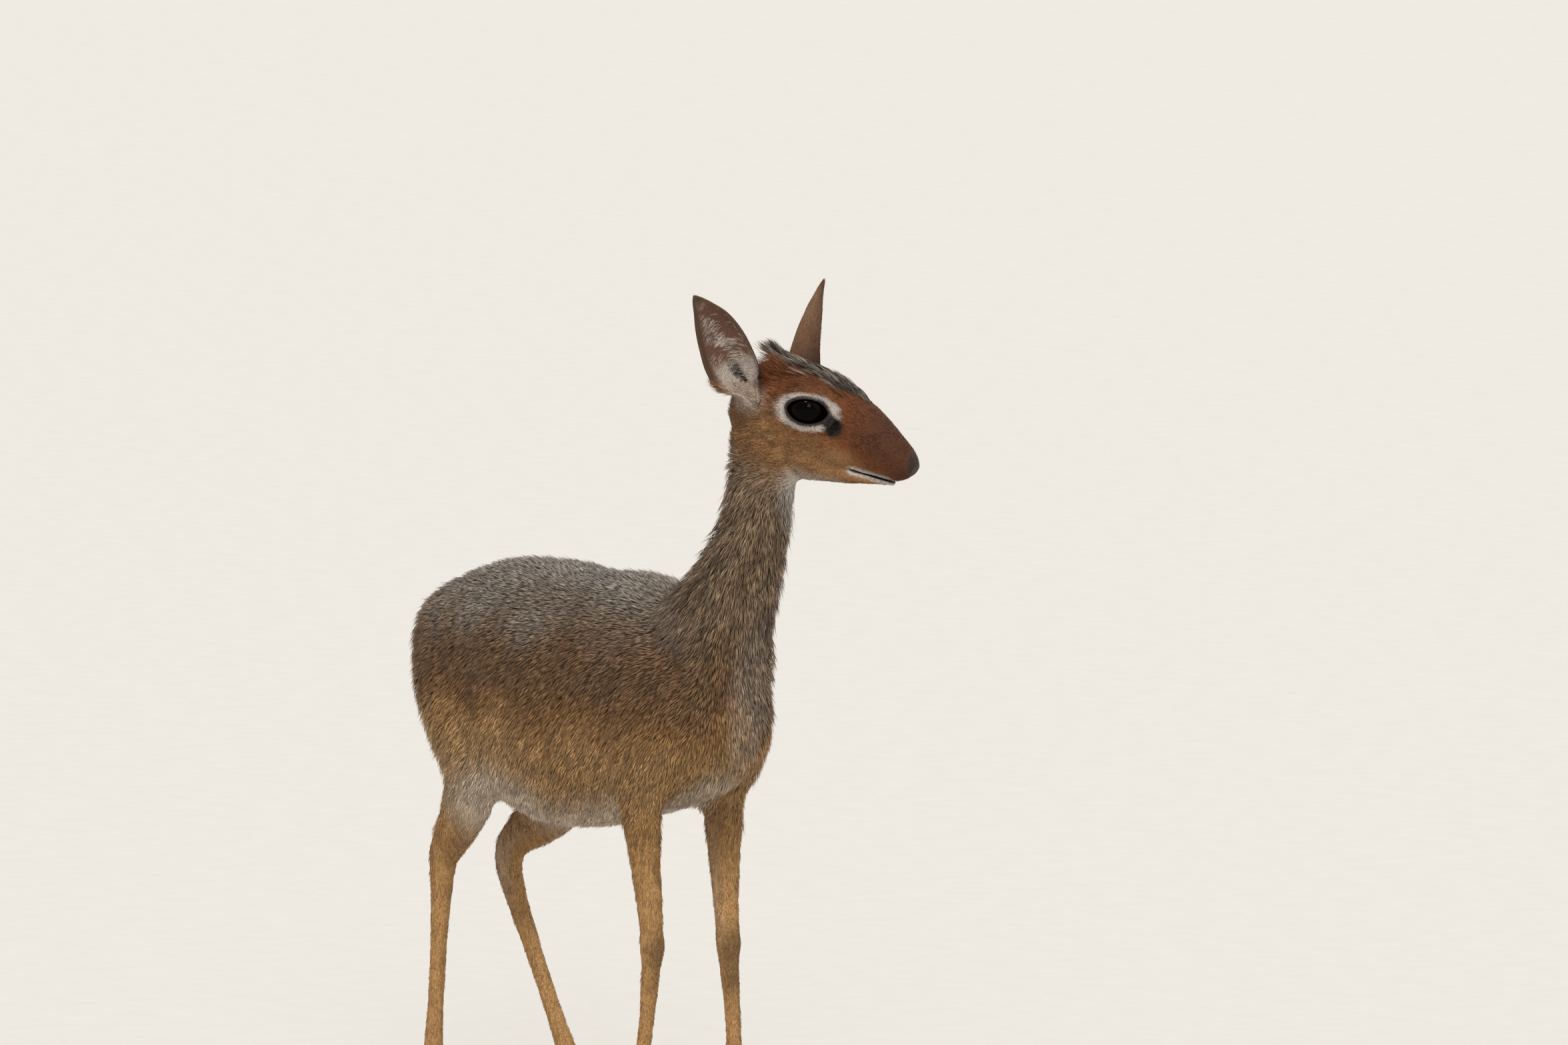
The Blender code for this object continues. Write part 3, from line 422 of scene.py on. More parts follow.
def lid_rings(side):
    """Small rings that run round the eye's opening on the ball of the eye."""
    place = eye_frame(side)
    edge = []
    for i in range(LID_CORNERS + 1):
        u, v = almond(2 * math.pi * i / LID_CORNERS, 1.08)
        lift = math.sqrt(max((EYE_RADIUS + 0.0006) ** 2 - u * u - v * v, 1e-8))
        edge.append(place @ Vector((u, v, lift)))
    rings = []
    for i in range(LID_CORNERS):
        path = (edge[i + 1] - edge[i - 1 if i else LID_CORNERS - 1]).normalized()
        out = (edge[i] - place.translation).normalized()
        across = path.cross(out).normalized()
        ring = []
        for k in range(10):
            turn = 2 * math.pi * k / 10
            ring.append(edge[i] + (out * math.sin(turn) + across * math.cos(turn)) * LID_RADIUS)
        rings.append(ring)
    return rings + rings[:1]


def axis_rings(keys, sides, widen):
    """Rings along the head, from rows of place, top, bottom and half width."""
    rings = []
    for along, top, bottom, half in smooth_rows(keys, ROW_STEPS):
        middle, rise = (top + bottom) / 2, (top - bottom) / 2
        ring = []
        for i in range(sides):
            c, s = oval(2 * math.pi * i / sides, SQUARENESS)
            ring.append(HEAD @ Vector((along, half * c * (1 + widen * s), middle + rise * s)))
        rings.append(ring)
    return rings


def nape_rings(sides):
    """Level rings that run from the neck up into the skull."""
    rings = []
    for x, y, z, half, deep in smooth_rows(NAPE, ROW_STEPS):
        ring = []
        for i in range(sides):
            c, s = oval(2 * math.pi * i / sides, NAPE_SQUARENESS)
            across = HEAD_TURN @ Vector((deep * s, half * c, 0))
            ring.append(Vector((x, y, z)) - BODY_ORIGIN + across)
        rings.append(ring)
    return rings


# %% Forms of the head
forms = bmesh.new()
loft(forms, axis_rings(SKULL, 48, 0.10))
loft(forms, axis_rings(JAW, 32, -0.05))
for side in SIDES:
    for centre, radii in (BROW, SOCKET, CHEEK):
        ball(forms, on_side(centre, side), radii, HEAD)
loft(forms, nape_rings(32))
print("head forms have", len(forms.faces), "faces")

# %% [markdown]
# ## One skin
#
# Cutting an animal into parts leaves seams. The copies of the solids are swollen by a hair's
# breadth, so that they overlap, and a voxel remesh melts them and the head's forms into one
# surface. It is smoothed, most on the trunk and least on the snout, and then drawn inwards
# by the depth of the coat, which is thick on the back and thin on the shins.

# %% Flesh from the solids
BRIDGE = 0.00025
GRAIN = 0.0011
HEAD_NODES = ("head", "ear_left", "ear_right", "eye_left", "eye_right")
flesh = [n for n in sorted(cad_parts) if n not in HEAD_NODES and not n.startswith("hoof")]
for name in flesh:
    part = bmesh.new()
    part.from_mesh(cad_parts[name].data)
    bmesh.ops.remove_doubles(part, verts=part.verts, dist=1e-6)
    part.normal_update()
    moves = [vert.normal * BRIDGE for vert in part.verts]
    for vert, move in zip(part.verts, moves):
        vert.co += move
    join(forms, part)
skin = keep("skin", forms)
modify(skin, "REMESH", mode="VOXEL", voxel_size=GRAIN)
apply_all(skin)
print(len(flesh), "solids melted into", len(skin.data.polygons), "faces")


# %% Places as numbers
def fade(value, low, high):
    """0 below low, 1 above high and smooth between them; low may be the larger."""
    t = np.clip((value - low) / (high - low), 0.0, 1.0)
    return t * t * (3 - 2 * t)


def mixed(first, second, share):
    """The first value where the share is 0 and the second where it is 1."""
    return first * (1 - share) + second * share


def in_frame(points, place):
    """The same points, measured in a frame of their own."""
    turned = np.array(place.inverted())
    return points @ turned[:3, :3].T + turned[:3, 3]


def points_of(mesh):
    """The mesh's points from the withers' foot, and the same points in the head's frame."""
    there = np.empty(len(mesh.vertices) * 3)
    mesh.vertices.foreach_get("co", there)
    there = there.reshape(-1, 3)
    return there + np.array(BODY_ORIGIN), in_frame(there, HEAD)


def normals_of(mesh):
    """The way each point faces, rounded so that every run gives the same numbers."""
    ways = np.empty(len(mesh.vertices) * 3, np.float32)
    mesh.vertex_normals.foreach_get("vector", ways)
    return np.round(ways.reshape(-1, 3).astype(float), 5)


# A point on each plane that ends the neck, and the way up the neck there.
NECK_TOP = (np.array((0.187, 0.017, 0.453)), np.array((0.342, 0.225, 0.880)))
NECK_BASE = (np.array((0.142, 0.0, 0.356)), np.array((0.622, 0.0, 0.783)))


def parts_of(body):
    """How much each point belongs to the head, neck, forelegs, hind legs and tail."""
    head = fade((body - NECK_TOP[0]) @ NECK_TOP[1], -0.012, 0.016)
    neck = fade((body - NECK_BASE[0]) @ NECK_BASE[1], -0.020, 0.030) * (1 - head)
    x, y, z = body.T
    fore = fade(z, 0.245, 0.200) * fade(x, 0.075, 0.095)
    hind = fade(z, 0.245, 0.200) * fade(x, -0.020, -0.035)
    tail = fade(x, -0.1600, -0.1655) * fade(np.abs(y), 0.0130, 0.0095) * fade(z, 0.270, 0.280)
    return head, neck, fore, hind, tail


# %% Smoothing and the depth of the coat
DEEPEST = 0.0048
GROUP_STEPS = 64
SKIN_FACES = 62000


def set_group(obj, name, weights):
    """A vertex group from an array, in small steps."""
    group = obj.vertex_groups.new(name=name)
    steps = np.rint(np.clip(weights, 0, 1) * GROUP_STEPS).astype(int)
    for step in range(1, GROUP_STEPS + 1):
        group.add(np.nonzero(steps == step)[0].tolist(), step / GROUP_STEPS, "REPLACE")


def coat_depth(body, face):
    """How deep the coat stands on the skin, in metres."""
    head, neck, fore, hind, tail = parts_of(body)
    z = body[:, 2]
    depth = 0.0026 + 0.0022 * fade(z, 0.200, 0.300)
    depth = mixed(depth, 0.0009 + 0.0010 * fade(z, 0.150, 0.220), np.maximum(fore, hind))
    depth = mixed(depth, 0.0014, tail)
    cheek = 0.0005 + 0.0013 * fade(face[:, 0], 0.075, 0.010)
    for side in SIDES:
        far = np.linalg.norm(face - np.array(on_side(EYE_PLACE, side)), axis=1)
        cheek = cheek * fade(far, 0.0160, 0.0260)
    return mixed(depth, cheek, head)


body, face = points_of(skin.data)
head, neck, fore, hind, tail = parts_of(body)
soft = np.clip(1.0 - 0.75 * np.maximum(fore, hind) - 0.35 * head, 0.15, 1)
soft = soft * (1 - head * fade(face[:, 0], 0.045, 0.085) * 0.8)
set_group(skin, "soft", soft)
set_group(skin, "depth", coat_depth(body, face) / DEEPEST)
modify(skin, "SMOOTH", factor=0.5, iterations=16, vertex_group="soft")
modify(skin, "DISPLACE", strength=-DEEPEST, mid_level=0.0, vertex_group="depth")
modify(skin, "SMOOTH", factor=0.5, iterations=3)
modify(skin, "DECIMATE", ratio=SKIN_FACES / len(skin.data.polygons))
apply_all(skin)
print("skin thinned to", len(skin.data.polygons), "faces")

# %% [markdown]
# ## Ears
#
# Each ear is a leaf of thin gristle rolled into a tube at its root. A grid is bent to that
# shape, row by row, from a short table, and given its thickness. The table gives, from the
# root to the tip, how wide the leaf is, how far round it curls and how far its middle
# leans.

# %% Sizes of the ears
EARS = {
    "right": {
        "root": (-0.0030, -0.0185, -0.0010),
        "lean": (-0.0245, -0.038, 0.0695),
        "opens": (0.50, -0.86, 0.0),
        "half": 0.0152,
        "bow": 0.006,
    },
    "left": {
        "root": (-0.0015, 0.0230, 0.0000),
        "lean": (0.0165, 0.0385, 0.0730),
        "opens": (0.72, 0.68, 0.0),
        "half": 0.0162,
        "bow": 0.0,
    },
}
# Rows: share of the length, width, curl in degrees and lean of the middle line.
EAR_SHAPE = [
    (0.00, 0.40, 165, 0.00),
    (0.12, 0.54, 130, 0.02),
    (0.26, 1.02, 94, -0.09),
    (0.41, 1.12, 70, -0.03),
    (0.57, 1.02, 58, 0.08),
    (0.73, 0.80, 50, 0.13),
    (0.86, 0.48, 43, 0.10),
    (0.95, 0.24, 37, 0.04),
    (1.00, 0.06, 34, 0.00),
]
EAR_THICKNESS = 0.0015


# %% Ears as bent grids
def ear_point(name, along, across):
    """A point of the ear's leaf, along from root to tip and across from -1 to 1."""
    ear = EARS[name]
    lean = Vector(ear["lean"])
    up = lean.normalized()
    ahead = Vector(ear["opens"])
    ahead = (ahead - up * ahead.dot(up)).normalized()
    sideways = up.cross(ahead)
    wide, curl, shift = [np.interp(along, ear_rows[:, 0], ear_rows[:, i]) for i in (1, 2, 3)]
    curl = math.radians(curl)
    radius = ear["half"] * wide / math.sin(min(curl, math.pi / 2))
    bow = ear["bow"] * math.sin(math.pi * along)
    centre = up * (lean.length * along) - ahead * bow + sideways * (ear["half"] * shift)
    angle = across * curl
    out = sideways * math.sin(angle) - ahead * math.cos(angle)
    local = centre + ahead * (radius * 0.85) + out * radius
    return HEAD @ Vector(ear["root"]) + LEVEL_TURN @ local


ear_rows = smooth_rows(EAR_SHAPE, 8)
ears = bmesh.new()
leaves = {}
for name in EARS:
    leaf = bmesh.new()
    bmesh.ops.create_grid(leaf, x_segments=56, y_segments=28, size=1.0)
    flat = [(vert.co.x * 0.5 + 0.5, vert.co.y) for vert in leaf.verts]
    for vert, (along, across) in zip(leaf.verts, flat):
        vert.co = ear_point(name, along, across)
    bmesh.ops.recalc_face_normals(leaf, faces=leaf.faces)
    leaf.normal_update()
    leaves[name] = (BVHTree.FromBMesh(leaf), flat, [f.verts[0].index for f in leaf.faces])
    bmesh.ops.solidify(leaf, geom=leaf.faces[:], thickness=EAR_THICKNESS)
    bmesh.ops.recalc_face_normals(leaf, faces=leaf.faces)
    join(ears, leaf)
print("ears have", len(ears.faces), "faces")

# %% [markdown]
# ## Openings of the face
#
# Eyes, nostrils, mouth and the tear gland are cut into the skin with solids of their own
# shape. They could be pushed in by hand, but a cut gives the sharp edge of a lid. One
# Boolean joins the ears, lids and lips and two make the cuts, before anything grows on the
# skin.


# %% Tools of the face
# How far out each ring of the slot between the lids lies, and how wide it is there.
EYE_SLOT = ((0.0, 0.80), (EYE_RADIUS * 0.35, 0.99), (EYE_RADIUS * 1.12, 1.0), (0.022, 1.12))


def eye_prism(edit, side):
    """The slot between the lids."""
    place = eye_frame(side)
    rings = []
    for deep, wide in EYE_SLOT:
        ring = []
        for i in range(40):
            u, v = almond(2 * math.pi * i / 40, wide)
            ring.append(place @ Vector((u, v, deep)))
        rings.append(ring)
    loft(edit, rings)


def mouth_line():
    """The mouth on the skin, from the right corner round the front to the left corner."""
    points = [v.co.copy() for v in skin.data.vertices]
    tree = BVHTree.FromPolygons(points, [tuple(p.vertices) for p in skin.data.polygons])
    level = HEAD.inverted()

    def touched(start, way):
        return level @ tree.ray_cast(HEAD @ Vector(start), HEAD.to_3x3() @ Vector(way))[0]

    near = [touched((a, -0.05, n), (0, 1, 0)) for a, n in MOUTH]
    far = [touched((a, 0.05, n), (0, -1, 0)) for a, n in MOUTH]
    keys = near + [touched((0.15, 0, MOUTH_FRONT), (-1, 0, 0))] + far[::-1]
    return [Vector(row) for row in smooth_rows(keys, 4)]


def along_mouth(edit, line, rise, deep, high):
    """A closed form that follows the mouth, raised a little, with half sizes in and up."""
    rings = []
    for r, point in enumerate(line):
        path = (line[min(r + 1, len(line) - 1)] - line[max(r - 1, 0)]).normalized()
        up = Vector((0, 0, 1))
        out = path.cross(up).normalized()
        size = min(1.0, 0.35 + 3 * min(r, len(line) - 1 - r) / len(line))
        ring = []
        for i in range(10):
            c, s = math.cos(math.pi * i / 5), math.sin(math.pi * i / 5)
            ring.append(HEAD @ (point + (out * (deep * c) + up * (high * s + rise)) * size))
        rings.append(ring)
    loft(edit, rings)


def cut(obj, tools, operation):
    """Joins closed forms to an object, or cuts them out of it."""
    tool = keep("tool", tools)
    modify(obj, "BOOLEAN", operation=operation, solver="MANIFOLD", object=tool)
    apply_all(obj)
    bpy.data.objects.remove(tool)


# %% Join the ears and cut the face
MOUTH_DEEP = 0.0028
MOUTH_HIGH = 0.0006
GLAND_RADII = (0.0046, 0.0030, 0.0052)
NOSTRIL_RADII = (0.0042, 0.0027, 0.0020)
NOSTRIL_OUT = -28
NOSTRIL_UP = -30
EYE_PLAY = 0.0003

mouth = mouth_line()
slots = bmesh.new()
along_mouth(slots, mouth, 0.0, MOUTH_DEEP, MOUTH_HIGH)
for side in SIDES:
    eye_prism(slots, side)
    ball(slots, on_side(GLAND, side), GLAND_RADII, HEAD)
    turned = Matrix.Rotation(math.radians(NOSTRIL_OUT * side), 4, "Z")
    turned = turned @ Matrix.Rotation(math.radians(NOSTRIL_UP), 4, "Y")
    place = HEAD @ Matrix.Translation(on_side(NOSTRIL, side)) @ turned
    ball(slots, (0, 0, 0), NOSTRIL_RADII, place)
bmesh.ops.recalc_face_normals(slots, faces=slots.faces)
for side in SIDES:
    loft(ears, lid_rings(side))
    along_mouth(ears, mouth, LIP_RADIUS * side, LIP_RADIUS, LIP_RADIUS)
bmesh.ops.recalc_face_normals(ears, faces=ears.faces)
cut(skin, ears, "UNION")
cut(skin, slots, "DIFFERENCE")
sockets = bmesh.new()
for side in SIDES:
    ball(sockets, (0, 0, 0), (EYE_RADIUS + EYE_PLAY,) * 3, eye_frame(side), 48, 32)
cut(skin, sockets, "DIFFERENCE")
edit = bmesh.new()
edit.from_mesh(skin.data)
open_edges = sum(1 for e in edit.edges if len(e.link_faces) != 2)
bmesh.ops.triangulate(edit, faces=edit.faces)
for triangle in edit.faces:
    triangle.material_index = 0
edit.to_mesh(skin.data)
edit.free()
skin.data.materials.clear()
skin.data.shade_smooth()
print("skin has", len(skin.data.polygons), "triangles and", open_edges, "open edges")

# %% [markdown]
# ## Markings
#
# Skin and hair must agree, or the skin shows through as patches of another animal. So each
# marking is one number worked out once at every point of the skin, from where that point
# lies on the body: how grey, how russet, how pale and how dark it is. The skin keeps the
# numbers as attributes, and each hair later takes them from the point it grows on.

# %% Where the ears are
EARS_ABOVE = 0.012
LEAF_REACH = 0.0022
CUP_AHEAD = 0.02

body, face = points_of(skin.data)
there = body - np.array(BODY_ORIGIN)
normals = normals_of(skin.data)
head, neck, fore, hind, tail = parts_of(body)
legs = np.maximum(fore, hind)
ear_along = np.full(len(body), -1.0)
ear_across, ear_inside, ear_left = np.zeros((3, len(body)))
near_ears = np.nonzero(in_frame(there, LEVEL_HEAD)[:, 2] > EARS_ABOVE)[0]
for name, (tree, flat, corner) in leaves.items():
    cup = LEVEL_TURN @ Vector(EARS[name]["opens"])
    for i in near_ears:
        index = tree.find_nearest(Vector(there[i]), LEAF_REACH)[2]
        if index is None:
            continue
        ear_along[i], ear_across[i] = flat[corner[index]]
        middle = ear_point(name, ear_along[i], 0.0)
        inward = (middle + cup * CUP_AHEAD) - Vector(there[i])
        ear_inside[i] = Vector(normals[i]).dot(inward) > 0
        ear_left[i] = name == "left"
is_ear = (ear_along > 0.09).astype(float)
ear_hollow = is_ear * ear_inside
ear_back = is_ear * (1 - ear_inside)
edge = np.abs(ear_across)
ear_front = ear_across * np.where(ear_left > 0, -1.0, 1.0)
print(int(is_ear.sum()), "points lie on the ears")


# %% Helpers for markings
def how_far(points, centre, radii):
    """How far points lie from a centre, where 1 is on the ellipse or ellipsoid."""
    return np.sqrt((((points - np.array(centre)) / np.array(radii)) ** 2).sum(1))


def spot(points, centre, radii, soft=0.35):
    """1 inside an ellipsoid, fading to 0 just outside it."""
    return fade(how_far(points, centre, radii), 1.0 + soft, 1.0 - soft)


def spots(points, centres, radii, soft=0.35):
    """The stronger of spots of one size."""
    return np.maximum.reduce([spot(points, centre, radii, soft) for centre in centres])


def on_both(place):
    """A place on the head and its mirror image."""
    return [on_side(place, side) for side in SIDES]


def ripple(points, size, seed):
    """A smooth random number from -1 to 1 that changes over a given length."""
    chance = np.random.default_rng(seed)
    total = np.zeros(len(points))
    for _ in range(6):
        way = chance.normal(size=3)
        way *= 2 * math.pi / size / np.linalg.norm(way) * chance.uniform(0.7, 1.5)
        total += np.sin(points @ way + chance.uniform(0, 6.28))
    return total / 6 * 1.6


# %% Pale places
x, y, z = body.T
a, left, n = face.T
under = fade(-normals[:, 2], 0.35, 0.85)
wave = ripple(body, 0.05, 3) * 0.012

belly = under * fade(z, 0.262, 0.245) * fade(x, 0.135, 0.110) * (1 - fade(z, 0.215, 0.180))
fold = spot(body, (-0.030, 0.0, 0.222), (0.062, 0.080, 0.033))
inner = fade(np.abs(y), 0.024, 0.012) * fade(z, 0.270, 0.245) * fade(z, 0.120, 0.170)
chest = spot(body, (0.190, 0.008, 0.305), (0.022, 0.016, 0.060), 0.4)
throat = spot(body, (0.213, 0.034, 0.437), (0.013, 0.018, 0.022), 0.4)
rump = spot(body, (-0.168, 0.0, 0.285), (0.020, 0.030, 0.045), 0.5)
mouth_points = np.array([tuple(point) for point in mouth])
gaps = np.linalg.norm(face[:, None, :] - mouth_points[None], axis=2)
to_mouth = gaps.min(1)
above_mouth = n - mouth_points[gaps.argmin(1), 2]
lips = head * fade(to_mouth, 0.0044, 0.0026)
chin = head * under * fade(n + 0.42 * a, 0.012, 0.004) * fade(a, 0.030, 0.060)
pale = [belly * 0.50, fold * 0.60, inner * 0.55, chest * 0.3, throat * 0.8, chin * 0.35]
pale = np.maximum.reduce(pale + [rump * 0.4, lips * 0.75])
print("pale places:", round(pale.mean(), 2))

# %% Round the eyes
RING_MIDDLE = (0.0005, -0.0011)
RING_RADII = (0.0208, 0.0118)
LID_RADII = (OPENING[0] + 0.0014, OPENING[1] + 0.0014)
GLAND_FRONT = (0.0532, 0.0245, 0.0124)

ring, lid = np.zeros((2, len(body)))
for side in SIDES:
    at_eye = in_frame(there, eye_frame(side))
    out = fade(at_eye[:, 2], 0.000, 0.004)
    far = how_far(at_eye[:, :2], RING_MIDDLE, RING_RADII) + 0.06 * ripple(body, 0.004, 8)
    ring = np.maximum(ring, fade(far, 1.10, 0.98) * out)
    lid = np.maximum(lid, fade(how_far(at_eye[:, :2], (0, 0), LID_RADII), 1.10, 0.99) * out)
gland = np.maximum(
    spots(face, on_both(GLAND), (0.0061, 0.0066, 0.0063), 0.12),
    spots(face, on_both(GLAND_FRONT), (0.0064, 0.0075, 0.0050), 0.2),
)
print("points in the rings of the eyes:", int((ring > 0.5).sum()))

# %% Dark places
KNEE = (0.016, 0.014, 0.022)

nose = head * fade(a + 0.4 * n, 0.1100, 0.1125) * fade(n, -0.006, -0.002)
nostrils = spots(face, on_both(NOSTRIL), (0.0050, 0.0034, 0.0028))
slit = head * fade(to_mouth, 0.0036, 0.0028) * fade(np.abs(above_mouth), 0.0010, 0.0006)
snout = head * fade(a, 0.045, 0.085) * fade(n + 0.3 * a, 0.012, 0.036)
crown = head * fade(n, 0.012, 0.026)
inner_rim = np.maximum(fade(-ear_front, 0.58, 0.78), fade(ear_front, 0.80, 0.92))
ear_rim = np.where(ear_inside > 0, inner_rim, fade(edge, 0.84, 0.97))
ear_rim = is_ear * np.maximum(ear_rim, fade(ear_along, 0.86, 0.95))
# A dark stripe down the lower hollow of each ear, where it rolls into a tube: painted shade in the
# ear's slit.
ear_slit_shade = ear_hollow * fade(ear_along, 0.37, 0.27) * fade(np.abs(ear_front - 0.10), 0.15, 0.07)
ear_dark = ear_back * (0.26 + 0.32 * fade(ear_along, 0.60, 0.15) + 0.30 * fade(edge, 0.4, 0.9))
streak = neck * fade(ripple(body * (1, 1, 0.30), 0.010, 5), 0.10, 0.65) * 0.30
knees = np.maximum(
    spot(body, (0.131, -0.027, 0.128), KNEE) * fade(x, 0.125, 0.135),
    spot(body, (0.140, 0.027, 0.128), KNEE) * fade(x, 0.130, 0.142),
)
hocks = 0.4 * hind * fade(np.abs(z - 0.165), 0.035, 0.010) * fade(-normals[:, 0], 0.1, 0.6)
pastern = fade(z, 0.050, 0.030)
dark = [lid, gland, nose * 0.88, nostrils, slit, snout * 0.60, crown * 0.14]
dark += [ear_rim * 0.58, ear_slit_shade, ear_dark, streak, knees * 0.5, hocks, pastern * 0.45]
print("dark places:", len(dark))

# %% Browns, and the numbers of every marking
brow = head * fade(n + 0.10 * a + 0.004 * ripple(body, 0.02, 6), -0.008, 0.010)
low_flank = fade(z + wave, 0.315, 0.270) * fade(x, -0.150, -0.080)
russet = np.maximum.reduce([0.35 * head, low_flank * 0.70, legs * 0.85, 0.22 * neck])
ear_root = spots(face, ((-0.009, -0.026, 0.001), (-0.007, 0.030, 0.002)), (0.017, 0.013, 0.013))
ear_root = ear_root * (1 - is_ear)
rust = (0.20 * head + 0.66 * brow + 0.50 * snout + 0.8 * nose) * (1 - is_ear)
rust = np.clip(rust * (1 - 0.8 * ear_root), 0, 1)
ear_rust = ear_back * (0.30 + 0.45 * fade(ear_along, 0.70, 0.20)) + 0.35 * ear_rim
grey = fade(z + wave, 0.325, 0.372) * (1 - head) * (1 - neck * 0.35) + 0.25 * is_ear
sandy = (0.50 + 0.22 * fade(x, 0.050, -0.030)) * fade(z + wave, 0.300, 0.258)
sandy = sandy * (1 - head) * (1 - neck) * (1 - legs)
# A sandy wash on the neck where it faces forward, up and towards the camera and the key light: painted
# light.
front = neck * fade(normals @ np.array((0.75, -0.35, 0.3)), 0.25, 0.85)
sand = [sandy, 0.24 * legs, 0.22 * front, 0.8 * belly, 0.8 * fold, 0.5 * inner]
fringe = ear_hollow * fade(-ear_front, 0.80, 0.62) * fade(ear_front, 0.94, 0.82)
fringe = fringe * fade(ear_along, 0.93, 0.84)
root_white = ear_hollow * fade(ear_along, 0.39, 0.29) * fade(-ear_front, 0.70, 0.45)
bare = lid + nose + slit + nostrils
marks = {
    "grey": np.clip(grey, 0, 1),
    "russet": np.clip(russet * (1 - is_ear) + 0.25 * ear_back, 0, 1),
    "rust": np.maximum(rust, ear_rust),
    "sand": np.maximum.reduce(sand),
    "pale": np.maximum.reduce([pale * (1 - lid), ring * 0.88, ear_root * 0.50, root_white * 0.62]),
    "inner_ear": fringe * (1 - root_white) * 0.9,
    "dark": np.clip(np.maximum.reduce(dark), 0, 1),
    "leg": legs,
    "bare": np.clip(bare + gland * 0.3, 0, 1),
}
print("markings:", ", ".join(f"{name} {values.mean():.2f}" for name, values in marks.items()))


def carry(mesh, numbers):
    """Writes named numbers on a mesh's points."""
    for name, values in numbers.items():
        made = mesh.attributes.new(name, "FLOAT", "POINT")
        made.data.foreach_set("value", values.astype(np.float32))


carry(skin.data, marks)

# %% [markdown]
# ## Colours of the coat
#
# The colours are named once and shared by the skin and every hair. A dik-dik's back is
# grizzled, because each hair is banded dark and pale. That band runs along the hair, so the
# hairs' material adds it. The skin is only darkened in a fine grain, painted shade between
# the hairs.

# %% Coat colours
BROWN = tone(140, 108, 78)
COAT = {
    "grey": tone(164, 152, 138),
    "russet": tone(180, 130, 72),
    "rust": tone(124, 68, 32),
    "sand": tone(206, 170, 122),
    "pale": tone(214, 205, 194),
    "inner_ear": tone(116, 80, 66),
    "dark": tone(24, 19, 18),
}


def coat_colour(paint):
    """The shared markings as one colour, laid over brown in the order above."""
    colour = BROWN
    for name, tint in COAT.items():
        colour = paint.mix(paint.read(name), colour, tint)
    return colour


print("colours of the coat: brown,", ", ".join(COAT))


# %% Skin
# A near-black brown, painted shade between the hairs on the skin.
SHADE_BETWEEN_HAIRS = (0.05, 0.035, 0.025, 1)

paint = Paint("skin")
grain_body = paint.noise(paint.place((0.35, 1, 1)), 1500.0, 2.0)
grain_leg = paint.noise(paint.place((1, 1, 0.25)), 1700.0, 2.0)
on_leg = paint.read("leg")
grain = grain_body * (1 - on_leg) + grain_leg * on_leg
naked = paint.read("bare")
# Where the grain is low, the skin is darkened more than half way to that near-black brown: painted
# shade between the hairs.
colour = paint.mix(0.55, coat_colour(paint), SHADE_BETWEEN_HAIRS)
colour = paint.mix(grain.between(0.35, 0.7), colour, coat_colour(paint))
pores = paint.noise(paint.place(), 2200.0) * naked * 0.6
paint.bump(grain * (1 - naked) + pores, 0.0006, 0.6)
skin.data.materials.append(
    paint.finish(Base_Color=colour, Roughness=0.8 - naked * 0.25, Specular_IOR_Level=0.2)
)
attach(skin, "root")
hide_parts("head", "ear_left", "ear_right", *flesh)

# %% [markdown]
# ## Eyes
#
# The eye is almost all dark iris, with a wide lying pupil that hardly shows, under a wet
# clear cornea. One ball does for both: its colour is worked out from where a point lies on
# it, and a clear coat gives the wet shine.


# %% Eyes
PUPIL_WIDE = 1.5


def eye(name, side):
    """A ball with a cornea that stands out a little in front."""
    edit = bmesh.new()
    bmesh.ops.create_uvsphere(edit, u_segments=64, v_segments=40, radius=EYE_RADIUS)
    iris_at, pupil_at = [], []
    for vert in edit.verts:
        u, v, w = vert.co / EYE_RADIUS
        vert.co *= 1 + 0.035 * (max(w - 0.45, 0) / 0.55) ** 2
        iris_at.append(math.hypot(u, v))
        pupil_at.append(math.hypot(u / PUPIL_WIDE, v))
    edit.transform(eye_frame(side))
    made = keep(name, edit)
    made.data.shade_smooth()
    carry(made.data, {"iris": np.array(iris_at), "pupil": np.array(pupil_at)})
    paint = Paint(name)
    fibre = paint.noise(paint.place(), 900.0, 4.0)
    iris = paint.mix(fibre, tone(8, 5, 4), tone(24, 13, 8))
    colour = paint.mix(paint.read("pupil").between(0.34, 0.42), tone(3, 3, 4), iris)
    colour = paint.mix(paint.read("iris").between(0.80, 0.90), colour, tone(8, 6, 6))
    made.data.materials.append(
        paint.finish(
            Base_Color=colour, Roughness=0.3, Specular_IOR_Level=0.0, Coat_Weight=0.25,
            Coat_Roughness=0.04, Coat_IOR=1.33,
        )
    )
    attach(made, "root")
    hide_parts(name)
    print(name, "has", len(made.data.polygons), "faces")


for name, side in (("eye_right", -1), ("eye_left", 1)):
    eye(name, side)

# %% [markdown]
# ## Hooves
#
# Four pairs of small narrow hooves carry the animal, each toe a pointed shell of horn with
# growth rings. A copy of each packed toe is merged, its triangles are joined into larger
# faces, and a small bevel rounds its rims, so it stands exactly where the solid does. Bands
# of noise across it give the rings.

# %% Horn
paint = Paint("horn")
bands = paint.noise(paint.place((0.2, 0.2, 1)), 900.0, 2.0)
stain = paint.noise(paint.place(), 120.0)
horn = paint.mix(stain, tone(38, 31, 27), tone(78, 64, 53))
paint.bump(bands, 0.0004, 0.5)
horn = paint.mix(bands * 0.4, horn, tone(105, 88, 72))
horn_material = paint.finish(Base_Color=horn, Roughness=0.42 + stain * 0.2)

# %% Hooves
RIM_WIDTH = 0.0006

